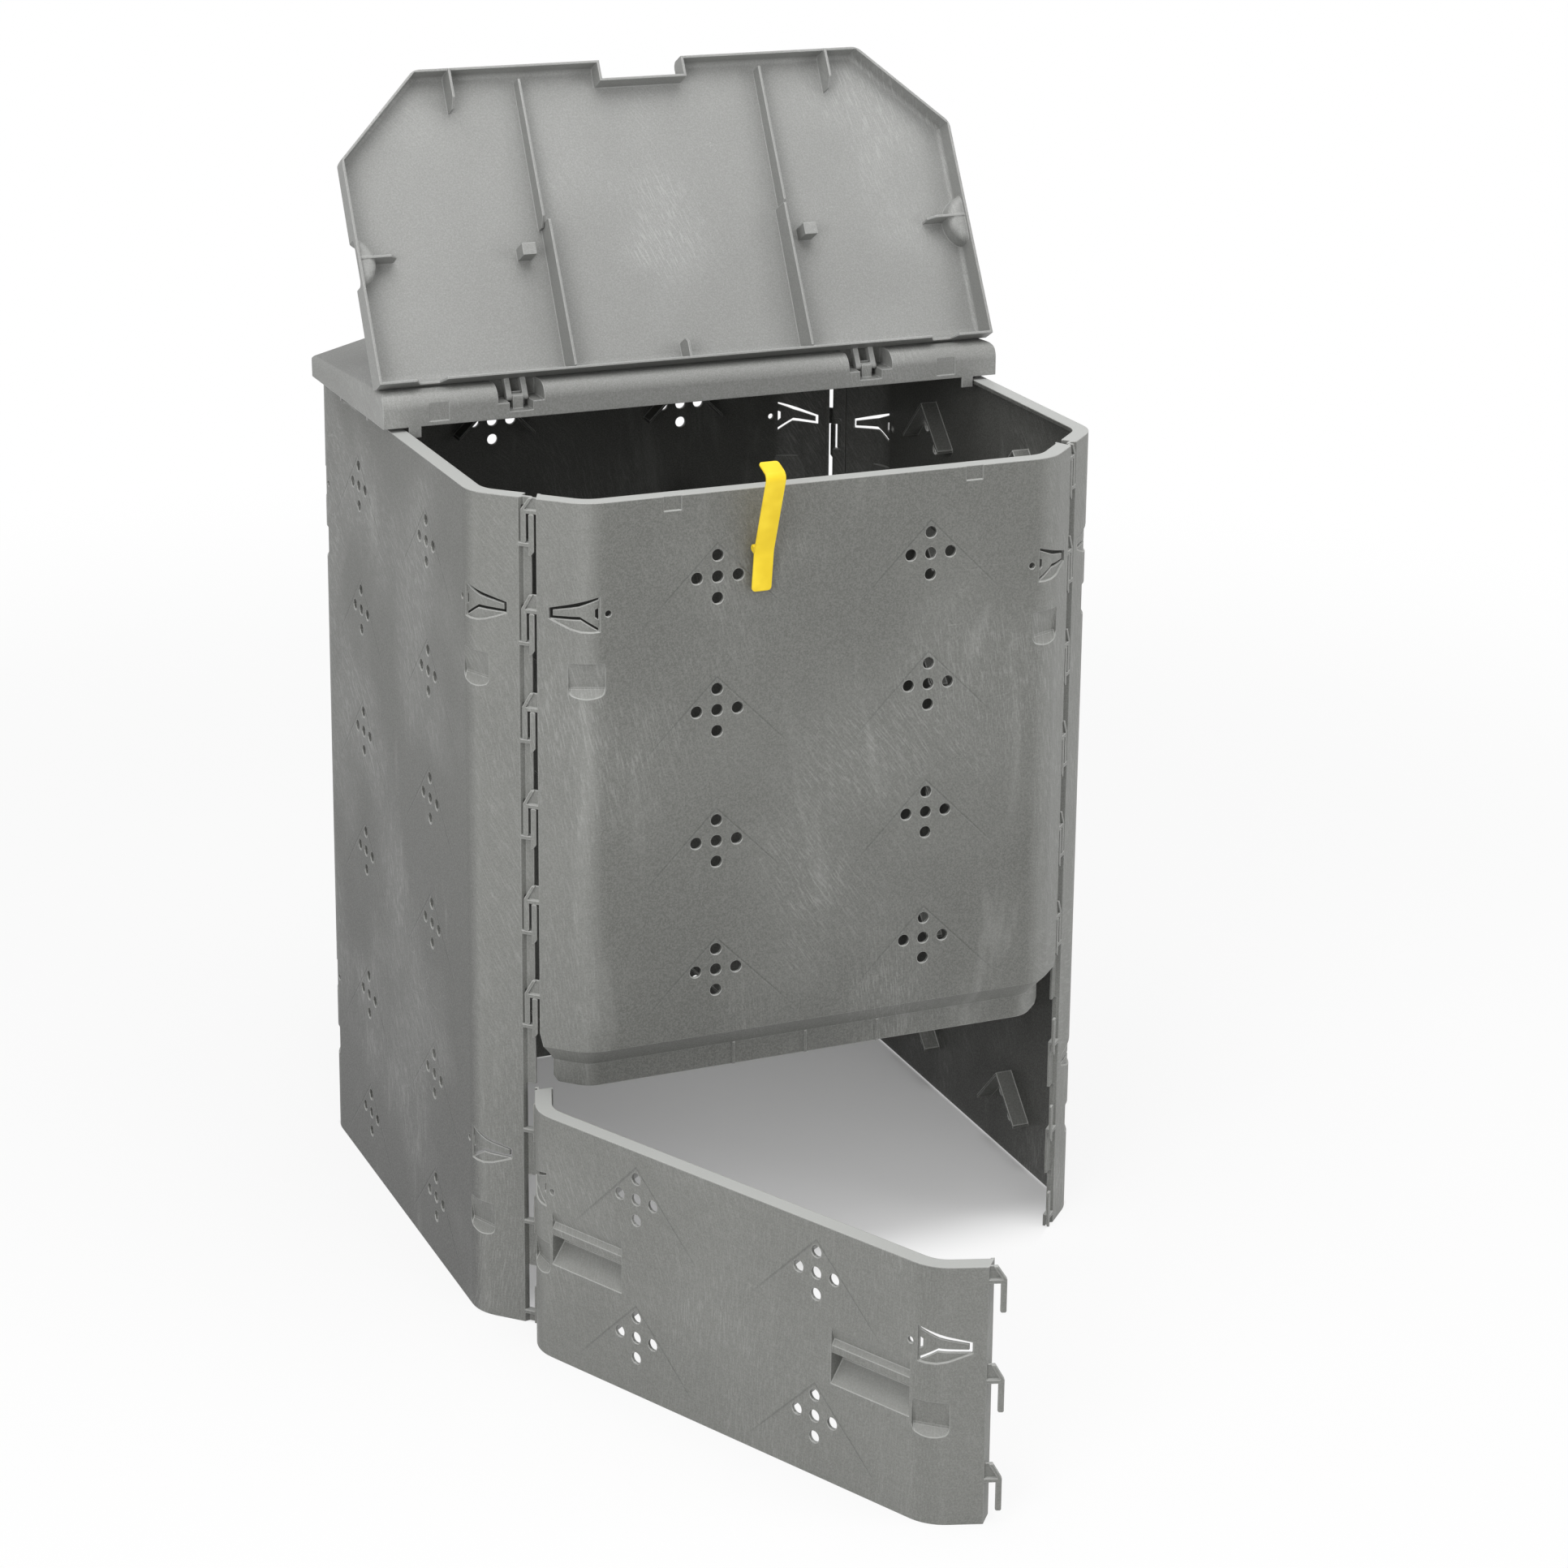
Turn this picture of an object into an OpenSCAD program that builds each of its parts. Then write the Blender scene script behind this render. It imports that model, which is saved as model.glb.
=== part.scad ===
// Compost bin: four hooked wall panels, a pull-open flap, a fixed rear cover and a hinged lid.

/* [Body] */
// Width of the square plan, over the walls
plan = 778; // [640:1:900]
// Height of the walls
wall_h = 1000; // [860:1:1150]
// Length taken off each side by the slanted corner
corner_cut = 101; // [85:1:130]
// Outer radius of the upright bends beside each corner
bend_r = 55; // [30:1:80]
// Thickness of the wall panels
wall_t = 4; // [3:0.1:5.5]
// How far the rim at the top turns inwards
rim_w = 19; // [12:0.5:28]
// Thickness of that rim
rim_t = 5; // [3:0.1:8]

/* [Front] */
// Height of the flap
flap_h = 298; // [240:1:340]
// Gap between the flap and the lip above it
flap_gap = 3.5; // [1.5:0.1:8]
// Height of the recessed lip under the upper front panel
lip_h = 27; // [16:1:40]
// Rise of the slope that joins the lip to the panel
lip_slope = 23; // [16:1:35]
// How far back the lip stands
lip_depth = 21; // [16:0.5:26]
// Angle of the flap as photographed
flap_open = 64.25; // [0:0.25:90]

/* [Air holes] */
// Diameter of each air hole
hole_d = 14; // [8:0.5:18]
// Distance from the middle hole to the four round it
hole_arm = 25; // [18:0.5:32]
// Distance of each column of holes from the middle of a wall
hole_x = 131.5; // [90:0.5:150]
// Distance from the wall top to the highest row
hole_top = 98.5; // [75:0.5:130]
// Height of the lowest row on the side and rear walls
hole_low = 78; // [60:1:95]
// Height of the lowest row on the flap
hole_flap = 71; // [60:1:90]
// How far each chevron louvre stands off the inside
louvre_d = 22; // [12:1:35]
// Half the span of a louvre
louvre_w = 52; // [42:1:60]
// Thickness of a louvre
louvre_t = 3; // [2:0.1:4]

/* [Hook seams] */
// Distance from the wall top to the highest standing hook
hook_top = 54; // [50:0.5:70]
// Number of hooks along the upper front panel
hook_count = 6; // [4:1:7]
// Height of the lowest standing hook
hook_low = 13; // [13:0.5:20]
// Height from a standing hook's bar to the hanging hook's bar
hook_rise = 38; // [30:0.5:44]
// Thickness of the hooks' fingers
hook_t = 2.6; // [2:0.1:3.1]
// Height of the hooks' cross bars
hook_bar = 4.4; // [3:0.1:6]
// Depth of the hanging hooks' cross bars and gussets
bar_d = 5; // [3:0.1:5.3]
// Width of each finger
finger_w = 6.4; // [5:0.1:6.5]
// Half the gap left between two engaged fingers
finger_gap = 1.6; // [1.5:0.05:1.9]
// Clearance under and over an engaged finger
hook_fit = 0.3; // [0.2:0.05:0.6]
// Distance from the middle of the corner to the edge of each panel
strip_w = 11; // [10.5:0.1:12.5]
// How far the side walls' sunk strip runs past the middle of the corner
strip_end = 2.8; // [1:0.1:3.2]
// Depth of the sunk strip under the outside
strip_d = 5.5; // [5.4:0.1:6.5]
// Height of the gusset over each hanging hook
gusset_h = 17; // [12:0.5:19]
// Depth of the slanted flange behind the hanging hooks
flange_d = 21; // [14:0.5:24]
// How far that flange slants towards the corner
flange_run = 8; // [4:0.5:8.5]

/* [Pockets and dimples] */
// Distance from the wall top to the middle of the upper tongue pockets
pocket_top = 127.5; // [100:0.5:150]
// Height of the middle of the lower tongue pockets
pocket_low = 212.5; // [190:0.5:225]
// Height of the middle of the flap's tongue pockets
pocket_flap = 207.5; // [190:0.5:220]
// Diameter of the small round hole beside each pocket
peg_d = 7.5; // [5:0.5:10]
// Distance from the wall top to the lip of the upper dimples
dimple_top = 226; // [205:1:245]
// Height of the lip of the lower dimples
dimple_low = 101; // [90:1:115]
// Height of a dimple
dimple_h = 41; // [30:1:48]
// Width of a dimple
dimple_w = 41; // [32:1:46]
// Depth of a dimple
dimple_d = 8.5; // [5:0.5:11]

/* [Flap grips] */
// Distance of each grip from the middle of the flap
grip_x = 208; // [200:1:214]
// Length of a grip
grip_w = 108; // [80:1:112]
// Height of the lower edge of a grip
grip_low = 118; // [112:1:124]
// Height of a grip
grip_h = 66; // [60:1:72]
// Depth of a grip
grip_d = 20; // [17:1:26]
// Height of the lower edge of the finger ledge across a grip
ledge_low = 36; // [32:0.5:38]

/* [Lid and cover] */
// How far the lid and cover stand out past the walls
overhang = 10.4; // [6:0.1:16]
// Thickness of the lid and cover
skin = 3; // [2.4:0.1:4]
// Gap from the wall top to the lid rim when closed
lid_rim_gap = 3; // [1:0.5:6]
// Gap from the wall top to the cover rim
cover_rim_gap = 5; // [2:0.5:8]
// Height of the hinge axis over the wall top
hinge_up = 26.3; // [22:0.1:32]
// Distance of the hinge axis behind the middle of the bin
hinge_back = 11.1; // [5:0.1:20]
// Radius of the cover's front edge, round the hinge axis
edge_r = 19.1; // [16:0.1:22]
// Gap between the cover's front edge and the turning lid
hinge_gap = 3; // [1.5:0.1:5]
// Radius of the lid's hinge-side edge
lid_edge_r = 18; // [12:0.5:20]
// Radius of the other top edges of the lid and cover
top_r = 9; // [6:0.5:12]
// Outer radius of their upright corners
roof_bend = 18; // [12:1:24]
// Slope of the cover's roof, in degrees
cover_pitch = 3; // [1.5:0.1:3.5]
// Slope of the lid's roof, in degrees
lid_pitch = 1.6; // [0:0.1:2]
// Angle of the lid as photographed, where it leans on the cover
lid_open = 119.5; // [105:0.5:125]
// Gap left between the open lid and the cover
lid_stop = 0.3; // [0.2:0.1:2]
// Half the width of the finger notch in the lid's front
notch_w = 54; // [30:1:70]
// Depth of that notch
notch_d = 24; // [12:1:30]
// Radius of the round hollow in each side of the lid
hollow_r = 31; // [26:0.5:34]
// How far that hollow reaches inwards
hollow_d = 21; // [14:0.5:24]
// Distance of the hollow from the lid's hinge edge
hollow_y = 154; // [120:1:170]
// Height of the rim left under the hollow
hollow_low = 8; // [7:0.5:12]

/* [Lid hinges] */
// Distance of each hinge from the middle of the lid
hinge_x = 228; // [180:1:250]
// Width of each hinge arm
arm_w = 6.6; // [5:0.1:8]
// Clear width between the two arms of a hinge
fork_w = 13.6; // [10:0.1:18]
// Height of the hinge arms
arm_h = 9; // [7:0.1:10]
// Diameter of the bar across each pair of arms
axle_d = 8; // [6:0.1:9]
// Radial play between the bar and its clip
axle_fit = 0.08; // [0.02:0.01:0.1]
// Half the width of the pocket round each hinge
pocket_w = 29; // [20:0.5:34]

/* [Strap latch] */
// Distance of the strap from the middle of the front
strap_x = -81; // [-90:1:-70]
// Width of the strap
strap_w = 24; // [21:0.5:30]
// Thickness of the strap
strap_t = 3.2; // [2.4:0.1:4]
// Distance from the wall top to the strap pivot
strap_drop = 68; // [55:1:75]
// Length of the tail below the pivot
tail_l = 50; // [35:1:60]
// Angle of the tail from the wall
tail_a = 12; // [9:0.5:16]
// Diameter of the strap's pivot pin
pin_d = 4.4; // [3:0.1:5]
// Radial play of that pin
pin_fit = 0.06; // [0.02:0.01:0.1]
// How far the strap stands away from the wall when released
strap_out = 20; // [20:1:22]

/* [Hidden] */
$fn = 64;
half = plan / 2;
bend_x = half - corner_cut;
mid = half - corner_cut / 2;
front_low = flap_h + flap_gap + lip_h + lip_slope;
lip_low = flap_h + flap_gap;
eps = 0.01;
reach = 0.5;
// The origin lies on the ground, at the middle of the rear wall's lower edge.
foot_y = half - wall_t / 2;

grey = [0.47, 0.47, 0.45];
pale = [0.56, 0.56, 0.54];
yellow = [0.95, 0.8, 0.15];

// Standing hooks' heights: first those of the upper panel, then those of the flap.
hook_first = wall_h - hook_top;
hook_last = front_low + 21.5;
upper_hooks = [for (i = [0:hook_count - 1]) hook_first - i * (hook_first - hook_last) / (hook_count - 1)];
flap_hook = flap_h - hook_rise - gusset_h;
lower_hooks = [flap_hook, (flap_hook + hook_low) / 2, hook_low];
all_hooks = concat(upper_hooks, lower_hooks);

// Heights of the crosses of air holes.
row_first = wall_h - hole_top;
row_last = front_low + 80;
front_rows = [for (i = [0:3]) row_first - i * (row_first - row_last) / 3];
flap_rows = [flap_h - 58, hole_flap];
side_rows = concat(front_rows, [flap_h - 59, hole_low]);

// Depths of the seam, measured inwards from the slanted corner face.
floor_t = 3;
step_w = 4;
far_edge = finger_gap + finger_w;

// The flap turns about the standing fingers of the left corner.
pivot_t = finger_gap + finger_w / 2;
pivot_n = -hook_t / 2;
flap_axis = [-mid + (pivot_t - pivot_n) / sqrt(2), -mid - (pivot_t + pivot_n) / sqrt(2)];

// Sections below are drawn as (depth inwards, height), then swept round half a panel.
module sweep_half(end_gap) {
    back = bend_r * tan(22.5);
    translate([0, -half, 0])
        rotate([90, 0, 90])
            linear_extrude(bend_x - back)
                children();
    translate([bend_x - back, -half + bend_r, 0])
        rotate([0, 0, -90])
            rotate_extrude(angle = 45)
                translate([bend_r, 0])
                    mirror([1, 0])
                        children();
    translate([bend_x + back / sqrt(2), -half + back / sqrt(2), 0])
        rotate([0, 0, 45])
            rotate([90, 0, 90])
                linear_extrude(corner_cut / sqrt(2) - back - end_gap)
                    children();
}

module both() {
    children();
    mirror([1, 0, 0])
        children();
}

// Places a child in the right corner: x runs from the seam into the panel, y points outwards.
module at_seam() {
    translate([mid, -mid, 0])
        rotate([0, 0, -135])
            children();
}

// Places a child on the right bend: x runs to the seam, y points outwards.
module at_bend() {
    back = bend_r * tan(22.5);
    translate([bend_x - back, -half + bend_r, 0])
        rotate([0, 0, -67.5])
            translate([bend_r, 0, 0])
                rotate([0, 0, -90])
                    mirror([1, 0, 0])
                        children();
}

// Extrudes an outline drawn as (x, z) inwards from y = out to y = -deep.
module plate(deep, out = 0) {
    translate([0, out, 0])
        rotate([90, 0, 0])
            linear_extrude(deep + out)
                children();
}

module air_cross(z) {
    for (at = [[0, 0], [1, 0], [-1, 0], [0, 1], [0, -1]])
        translate([at[0] * hole_arm, -half - 1, z + at[1] * hole_arm])
            rotate([-90, 0, 0])
                cylinder(d = hole_d, h = wall_t + 2);
}

module air_holes(rows) {
    for (z = rows)
        for (side = [-1, 1])
            translate([side * hole_x, 0, 0])
                air_cross(z);
}

// Chevron over each cross, so that air passes in below it and nothing falls out.
module louvre(z) {
    peak = 34;
    foot = peak - louvre_w;
    wall = louvre_t * sqrt(2);
    translate([0, -half + wall_t - reach, z])
        rotate([90, 0, 0])
            mirror([0, 0, 1])
                linear_extrude(louvre_d + reach)
                    polygon([
                        [0, peak + wall], [louvre_w, foot + wall], [louvre_w, foot],
                        [0, peak], [-louvre_w, foot], [-louvre_w, foot + wall]
                    ]);
}

module louvres(rows) {
    for (z = rows)
        for (side = [-1, 1])
            translate([side * hole_x, 0, 0])
                louvre(z);
}

// Hanging hook of the front, flap and rear panels: finger, cross bar and gusset.
module hanging_hook(z, top) {
    low = z + hook_bar / 2 + hook_fit;
    under = z + hook_rise - hook_bar / 2;
    over = under + hook_bar;
    peak = min(over + gusset_h, top);
    lean_x = 1.7;
    edge_w = 4.4;
    tip = 1.2;
    plate(hook_t)
        polygon([
            [-far_edge, low + tip], [-far_edge + tip, low], [-finger_gap - tip, low],
            [-finger_gap, low + tip], [-finger_gap, under + 1], [-far_edge, under + 1]
        ]);
    difference() {
        plate(bar_d)
            polygon([
                [-far_edge, under], [strip_w + 1, under], [strip_w + 1, peak],
                [lean_x, peak], [-far_edge, over]
            ]);
        // Triangle sunk between the gusset's slanted edge and the panel.
        plate(bar_d * 0.55, 1)
            polygon([
                [-far_edge + edge_w, over], [strip_w, over], [strip_w, peak + 1],
                [lean_x + edge_w, peak + 1], [lean_x + edge_w, peak]
            ]);
    }
}

// Standing hook of the side panels, with the rib that carries it over the sunk strip.
module standing_hook(z) {
    under = z - hook_bar / 2;
    over = z + hook_bar / 2;
    high = under + hook_rise - hook_fit;
    drop = min(10.5, under - eps);
    tip = 1.2;
    plate(hook_t)
        polygon([
            [strip_w + 2, under], [strip_w + 2, over], [-finger_gap, over],
            [-finger_gap, high - tip], [-finger_gap - tip, high], [-far_edge + tip, high],
            [-far_edge, high - tip], [-far_edge, under - drop / 2], [-far_edge + 4, under - drop],
            [-finger_gap, under - drop], [-finger_gap, under]
        ]);
    translate([-strip_end, -strip_d - 1, under])
        cube([strip_end + strip_w + 2, strip_d + 1 - hook_t / 2, hook_bar]);
}

// Window behind each standing hook, where the other panel's finger and gusset swing in.
module hook_window(z, rise) {
    low = z + hook_bar / 2;
    translate([-strip_w, -strip_d - floor_t - 1, low])
        cube([strip_w + far_edge + 1, strip_d + floor_t + 2, min(rise, wall_h - rim_t + 2 - low)]);
}

// Sunk strip along each upright edge of the side panels, with a slope down to it.
module seam_strip() {
    linear_extrude(wall_h)
        polygon([
            [-strip_end, -strip_d - floor_t], [strip_w + step_w, -strip_d - floor_t],
            [strip_w + step_w, 0], [strip_w, 0], [strip_w - step_w, -strip_d], [-strip_end, -strip_d]
        ]);
}

// Slanted flange along the edges that carry hanging hooks; the rim runs on to it.
module flange(low, high) {
    inner = strip_w - flange_run;
    rim_in = min(rim_w, flange_d);
    translate([0, 0, low])
        linear_extrude(high - low)
            polygon([
                [strip_w, 0], [inner, -flange_d], [inner + wall_t, -flange_d],
                [strip_w + wall_t, -wall_t / 2], [strip_w + wall_t, 0]
            ]);
    translate([0, 0, high - rim_t])
        linear_extrude(rim_t)
            polygon([
                [strip_w + 1, -1], [strip_w + 1 - flange_run * rim_in / flange_d, -rim_in],
                [strip_w + 1, -rim_in]
            ]);
}

// Tongue pocket: a funnel outline sunk a little, with slots round the tongue.
module pocket_outline() {
    polygon([
        [42, -8], [42, 4.5], [-15, 20.5], [-15, -20.5], [-6, -21], [6, -20.4],
        [18, -17.6], [30, -13]
    ]);
}

module pocket_slots() {
    polygon([
        [41, 4], [-13, 19], [-13, 16.6], [8, 8.6], [37.6, 1.8], [37.6, -4.6],
        [7.6, -3], [-13, -16], [-13, -19.4], [6.4, -6.8], [41, -8]
    ]);
    polygon([[-13, 7], [-9.4, 5.4], [-9.4, -3.6], [-13, -6.4]]);
}

module pocket_cut(z) {
    at_bend()
        translate([0, 0, z])
            plate(30, 6)
                pocket_slots();
    intersection() {
        sweep_half(strip_w)
            translate([-2, z - 30])
                square([2 + wall_t * 0.45, 60]);
        at_bend()
            translate([0, 0, z])
                plate(30, 8)
                    pocket_outline();
    }
    translate([bend_x - 26, -half - 1, z])
        rotate([-90, 0, 0])
            cylinder(d = peg_d, h = wall_t + 2);
}

// Outline of a dimple: square at the top, round at the bottom.
module dimple_outline(grow) {
    round_r = 12;
    span = dimple_w / 2 - round_r;
    for (side = [-1, 1])
        translate([side * span, round_r])
            circle(r = round_r + grow);
    translate([-span, -grow])
        square([2 * span, round_r + grow]);
    translate([-span - round_r - grow, round_r])
        square([2 * (span + round_r + grow), dimple_h - round_r + grow]);
}

// Dimple: a small step at the top, then a floor that sinks to the slope of its lower lip.
module dimple_form(z, grow) {
    step = 3;
    crease = 12;
    at_bend()
        translate([0, 0, z])
            intersection() {
                plate(30, 8)
                    dimple_outline(grow);
                translate([-dimple_w, 0, 0])
                    rotate([90, 0, 90])
                        linear_extrude(2 * dimple_w)
                            polygon([
                                [8, dimple_h + 5], [-step - grow, dimple_h + 5],
                                [-dimple_d - grow, crease - grow / 4],
                                [-dimple_d * 0.9 - grow, crease * 0.8 - grow / 2],
                                [-grow * 0.4, -grow], [8, -grow - 2]
                            ]);
            }
}

// Wall of a dimple on the inside of a panel.
module dimple_shell(z) {
    intersection() {
        dimple_form(z, skin);
        sweep_half(strip_w)
            translate([wall_t / 4, z - 10])
                square([30, dimple_h + 20]);
    }
}

// Swept panel with its seam edges.
module panel(low) {
    section = [
        [0, low], [0, wall_h], [rim_w, wall_h], [rim_w, wall_h - rim_t],
        [wall_t, wall_h - rim_t], [wall_t, low]
    ];
    both()
        sweep_half(strip_w)
            polygon(section);
}

module side_wall() {
    color(grey)
        difference() {
            union() {
                panel(0);
                louvres(side_rows);
                both() {
                    difference() {
                        at_seam()
                            seam_strip();
                        for (z = upper_hooks)
                            at_seam()
                                hook_window(z, hook_rise + 4);
                        for (z = lower_hooks)
                            at_seam()
                                hook_window(z, hook_rise + gusset_h + 1);
                    }
                    for (z = all_hooks)
                        at_seam()
                            standing_hook(z);
                    dimple_shell(wall_h - dimple_top);
                    dimple_shell(dimple_low);
                }
            }
            air_holes(side_rows);
            both() {
                pocket_cut(wall_h - pocket_top);
                pocket_cut(pocket_low);
                dimple_form(wall_h - dimple_top, 0);
                dimple_form(dimple_low, 0);
            }
        }
}

module left_wall() {
    rotate([0, 0, -90])
        side_wall();
}

module right_wall() {
    rotate([0, 0, 90])
        side_wall();
}

module rear_wall() {
    color(grey)
        rotate([0, 0, 180])
            difference() {
                union() {
                    panel(0);
                    louvres(side_rows);
                    both() {
                        at_seam()
                            flange(0, wall_h);
                        for (z = all_hooks)
                            at_seam()
                                hanging_hook(z, wall_h);
                        dimple_shell(wall_h - dimple_top);
                        dimple_shell(dimple_low);
                    }
                }
                air_holes(side_rows);
                both() {
                    pocket_cut(wall_h - pocket_top);
                    pocket_cut(pocket_low);
                    dimple_form(wall_h - dimple_top, 0);
                    dimple_form(dimple_low, 0);
                }
            }
}

// Upper front panel, drawn in one section: rim, face, slope and recessed lip.
module front_section() {
    slope_top = front_low;
    slope_low = front_low - lip_slope;
    polygon([
        [0, slope_top], [0, wall_h], [rim_w, wall_h], [rim_w, wall_h - rim_t],
        [wall_t, wall_h - rim_t], [wall_t, slope_top + 1.7], [lip_depth + wall_t, slope_low + 1.7],
        [lip_depth + wall_t, lip_low], [lip_depth, lip_low], [lip_depth, slope_low]
    ]);
}

// The panel's side edges slant inwards towards the lip.
module lip_corner() {
    slant = 16;
    translate([0, -lip_depth - wall_t - 2, 0])
        rotate([90, 0, 0])
            mirror([0, 0, 1])
                linear_extrude(lip_depth + wall_t + 4)
                    polygon([
                        [0, front_low + slant], [strip_w, front_low + slant], [strip_w + 7, front_low - 11],
                        [strip_w + 7, lip_low + 7], [strip_w + 14, lip_low - 1], [0, lip_low - 1]
                    ]);
}

strap_off = overhang + 0.4 - pin_d / 2 - 2.4;
strap_axis = [strap_x, -half - strap_off, wall_h - strap_drop];
eye_r = pin_d / 2 + 2;
eye_w = 9.6;

// Eye behind the strap, which its pin turns in.
module strap_eye() {
    translate([strap_x - eye_w / 2, 0, 0]) {
        translate([0, strap_axis[1], strap_axis[2]])
            rotate([0, 90, 0])
                cylinder(r = eye_r, h = eye_w);
        translate([0, strap_axis[1], strap_axis[2] - eye_r])
            cube([eye_w, strap_off + 1, 2 * eye_r]);
    }
}

module front_wall() {
    color(grey)
        difference() {
            union() {
                difference() {
                    both() {
                        sweep_half(strip_w)
                            front_section();
                        at_seam()
                            flange(lip_low, wall_h);
                    }
                    both()
                        at_seam()
                            lip_corner();
                }
                louvres(front_rows);
                for (x = [-100, -9, 83])
                    translate([x - 1.5, -half + lip_depth - 1.5, lip_low])
                        cube([3, 2.5, lip_h]);
                both() {
                    for (z = upper_hooks)
                        at_seam()
                            hanging_hook(z, wall_h);
                    dimple_shell(wall_h - dimple_top);
                }
                strap_eye();
            }
            air_holes(front_rows);
            both() {
                pocket_cut(wall_h - pocket_top);
                dimple_form(wall_h - dimple_top, 0);
                translate([175, -half - 1, wall_h - 17])
                    cube([21, 2.2, 18]);
            }
            translate([strap_x - eye_w, strap_axis[1], strap_axis[2]])
                rotate([0, 90, 0])
                    cylinder(d = pin_d + 2 * pin_fit, h = 2 * eye_w);
        }
}

// Grip in the flap, drawn as (depth, height): a shallow slope, a ledge and the finger hollow under it.
module grip_form(profile, grow) {
    translate([grip_x - grip_w / 2 - grow, -half, grip_low])
        rotate([90, 0, 90])
            linear_extrude(grip_w + 2 * grow)
                polygon(profile);
}

ledge_top = ledge_low + 15;
grip_cut = [
    [-4, grip_h], [0, grip_h], [5.5, ledge_top],
    [1.2, ledge_low + 8.5], [1.5, ledge_low], [5.5, ledge_low - 1],
    [6, ledge_low + 4], [9.5, ledge_low + 10], [grip_d - 2, ledge_low + 10], [grip_d, ledge_low + 7],
    [grip_d, 22], [0, 0], [-4, 0]
];
grip_back = [
    [1, grip_h + skin], [skin, grip_h + skin],
    [5.5 + skin, ledge_top + skin], [grip_d + skin - 3, ledge_low + 13],
    [grip_d + skin, ledge_low + 8], [grip_d + skin, 21], [skin, -skin], [1, -skin]
];

module flap_closed() {
    section = [
        [0, 0], [0, flap_h], [rim_w, flap_h], [rim_w, flap_h - rim_t],
        [wall_t, flap_h - rim_t], [wall_t, 0]
    ];
    difference() {
        union() {
            louvres(flap_rows);
            both() {
                sweep_half(strip_w)
                    polygon(section);
                at_seam()
                    flange(0, flap_h);
                for (z = lower_hooks)
                    at_seam()
                        hanging_hook(z, flap_h);
                dimple_shell(dimple_low);
                grip_form(grip_back, skin);
            }
        }
        air_holes(flap_rows);
        both() {
            pocket_cut(pocket_flap);
            dimple_form(dimple_low, 0);
            grip_form(grip_cut, 0);
        }
    }
}

module flap() {
    color(grey)
        translate([flap_axis[0], flap_axis[1], 0])
            rotate([0, 0, -flap_open])
                translate([-flap_axis[0], -flap_axis[1], 0])
                    flap_closed();
}

// Lid and cover share one outline and turn about one axis.
roof_half = half + overhang;
roof_cut = corner_cut + overhang * (2 - sqrt(2));
axis = [hinge_back, wall_h + hinge_up];
lid_rim = wall_h + lid_rim_gap;
cover_rim = wall_h + cover_rim_gap;
lid_edge = hinge_back - edge_r - hinge_gap;
lean = edge_r + hinge_gap + lid_edge_r;
lid_swing = lid_open - cover_pitch;
edge_up = (edge_r + lid_edge_r + lid_stop - lean * sin(lid_swing)) / cos(lid_swing);
lid_corner = [lid_edge - lid_edge_r, axis[1] + edge_up];

// Long bar under a roof plane, with rounded top edges, w to either side of the middle.
module roof_prism(turn, w, r, deep, top) {
    rotate([0, 0, turn])
        rotate([90, 0, 0])
            linear_extrude(3 * plan, center = true) {
                translate([-w, -deep])
                    square([2 * w, deep - top - r]);
                translate([-w + r, -deep])
                    square([2 * (w - r), deep - top]);
                for (side = [-1, 1])
                    translate([side * (w - r), -top - r])
                        circle(r = r);
            }
}

// Solid under a roof plane inside the outline of the lid; grow shrinks it inwards.
module roof_block(grow, deep) {
    w = roof_half - grow;
    slanted = (2 * roof_half - roof_cut) / sqrt(2) - grow;
    r = top_r - grow;
    intersection() {
        roof_prism(0, w, r, deep, grow);
        roof_prism(90, w, r, deep, grow);
        roof_prism(45, slanted, r, deep, grow);
        roof_prism(-45, slanted, r, deep, grow);
    }
}

// Outline of the lid and cover with their upright corners rounded.
module roof_outline() {
    back = roof_bend * tan(22.5);
    side = roof_half;
    start = roof_half - roof_cut;
    slope = back / sqrt(2);
    for (mx = [0, 1])
        for (my = [0, 1])
            mirror([mx, 0])
                mirror([0, my]) {
                    translate([start - back, side - roof_bend])
                        circle(r = roof_bend);
                    translate([side - roof_bend, start - back])
                        circle(r = roof_bend);
                    polygon([
                        [-1, -1], [-1, side], [start - back, side], [start + slope, side - slope],
                        [side - slope, start + slope], [side, start - back], [side, -1]
                    ]);
                }
}

module roof_solid(deep) {
    intersection() {
        roof_block(0, deep);
        translate([0, 0, -deep])
            linear_extrude(deep)
                roof_outline();
    }
}

// Sets a roof solid on the lid's slope.
module on_lid() {
    translate([0, lid_corner[0], lid_corner[1]])
        rotate([lid_pitch, 0, 0])
            translate([0, -lid_corner[0], lid_edge_r])
                children();
}

// Cuts it by the hinge edge and the rim.
module lid_section(r, low) {
    translate([-roof_half - 1, 0, 0])
        rotate([90, 0, 90])
            linear_extrude(2 * roof_half + 2) {
                translate([lid_corner[0], lid_corner[1]])
                    circle(r = r);
                translate([lid_corner[0], low])
                    square([r, lid_corner[1] - low]);
                translate([-roof_half - 20, low])
                    square([roof_half + 20 + lid_corner[0], 80]);
            }
}

module lid_block(grow, low) {
    intersection() {
        on_lid()
            roof_block(grow, 80);
        lid_section(lid_edge_r - grow, low);
    }
}

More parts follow.
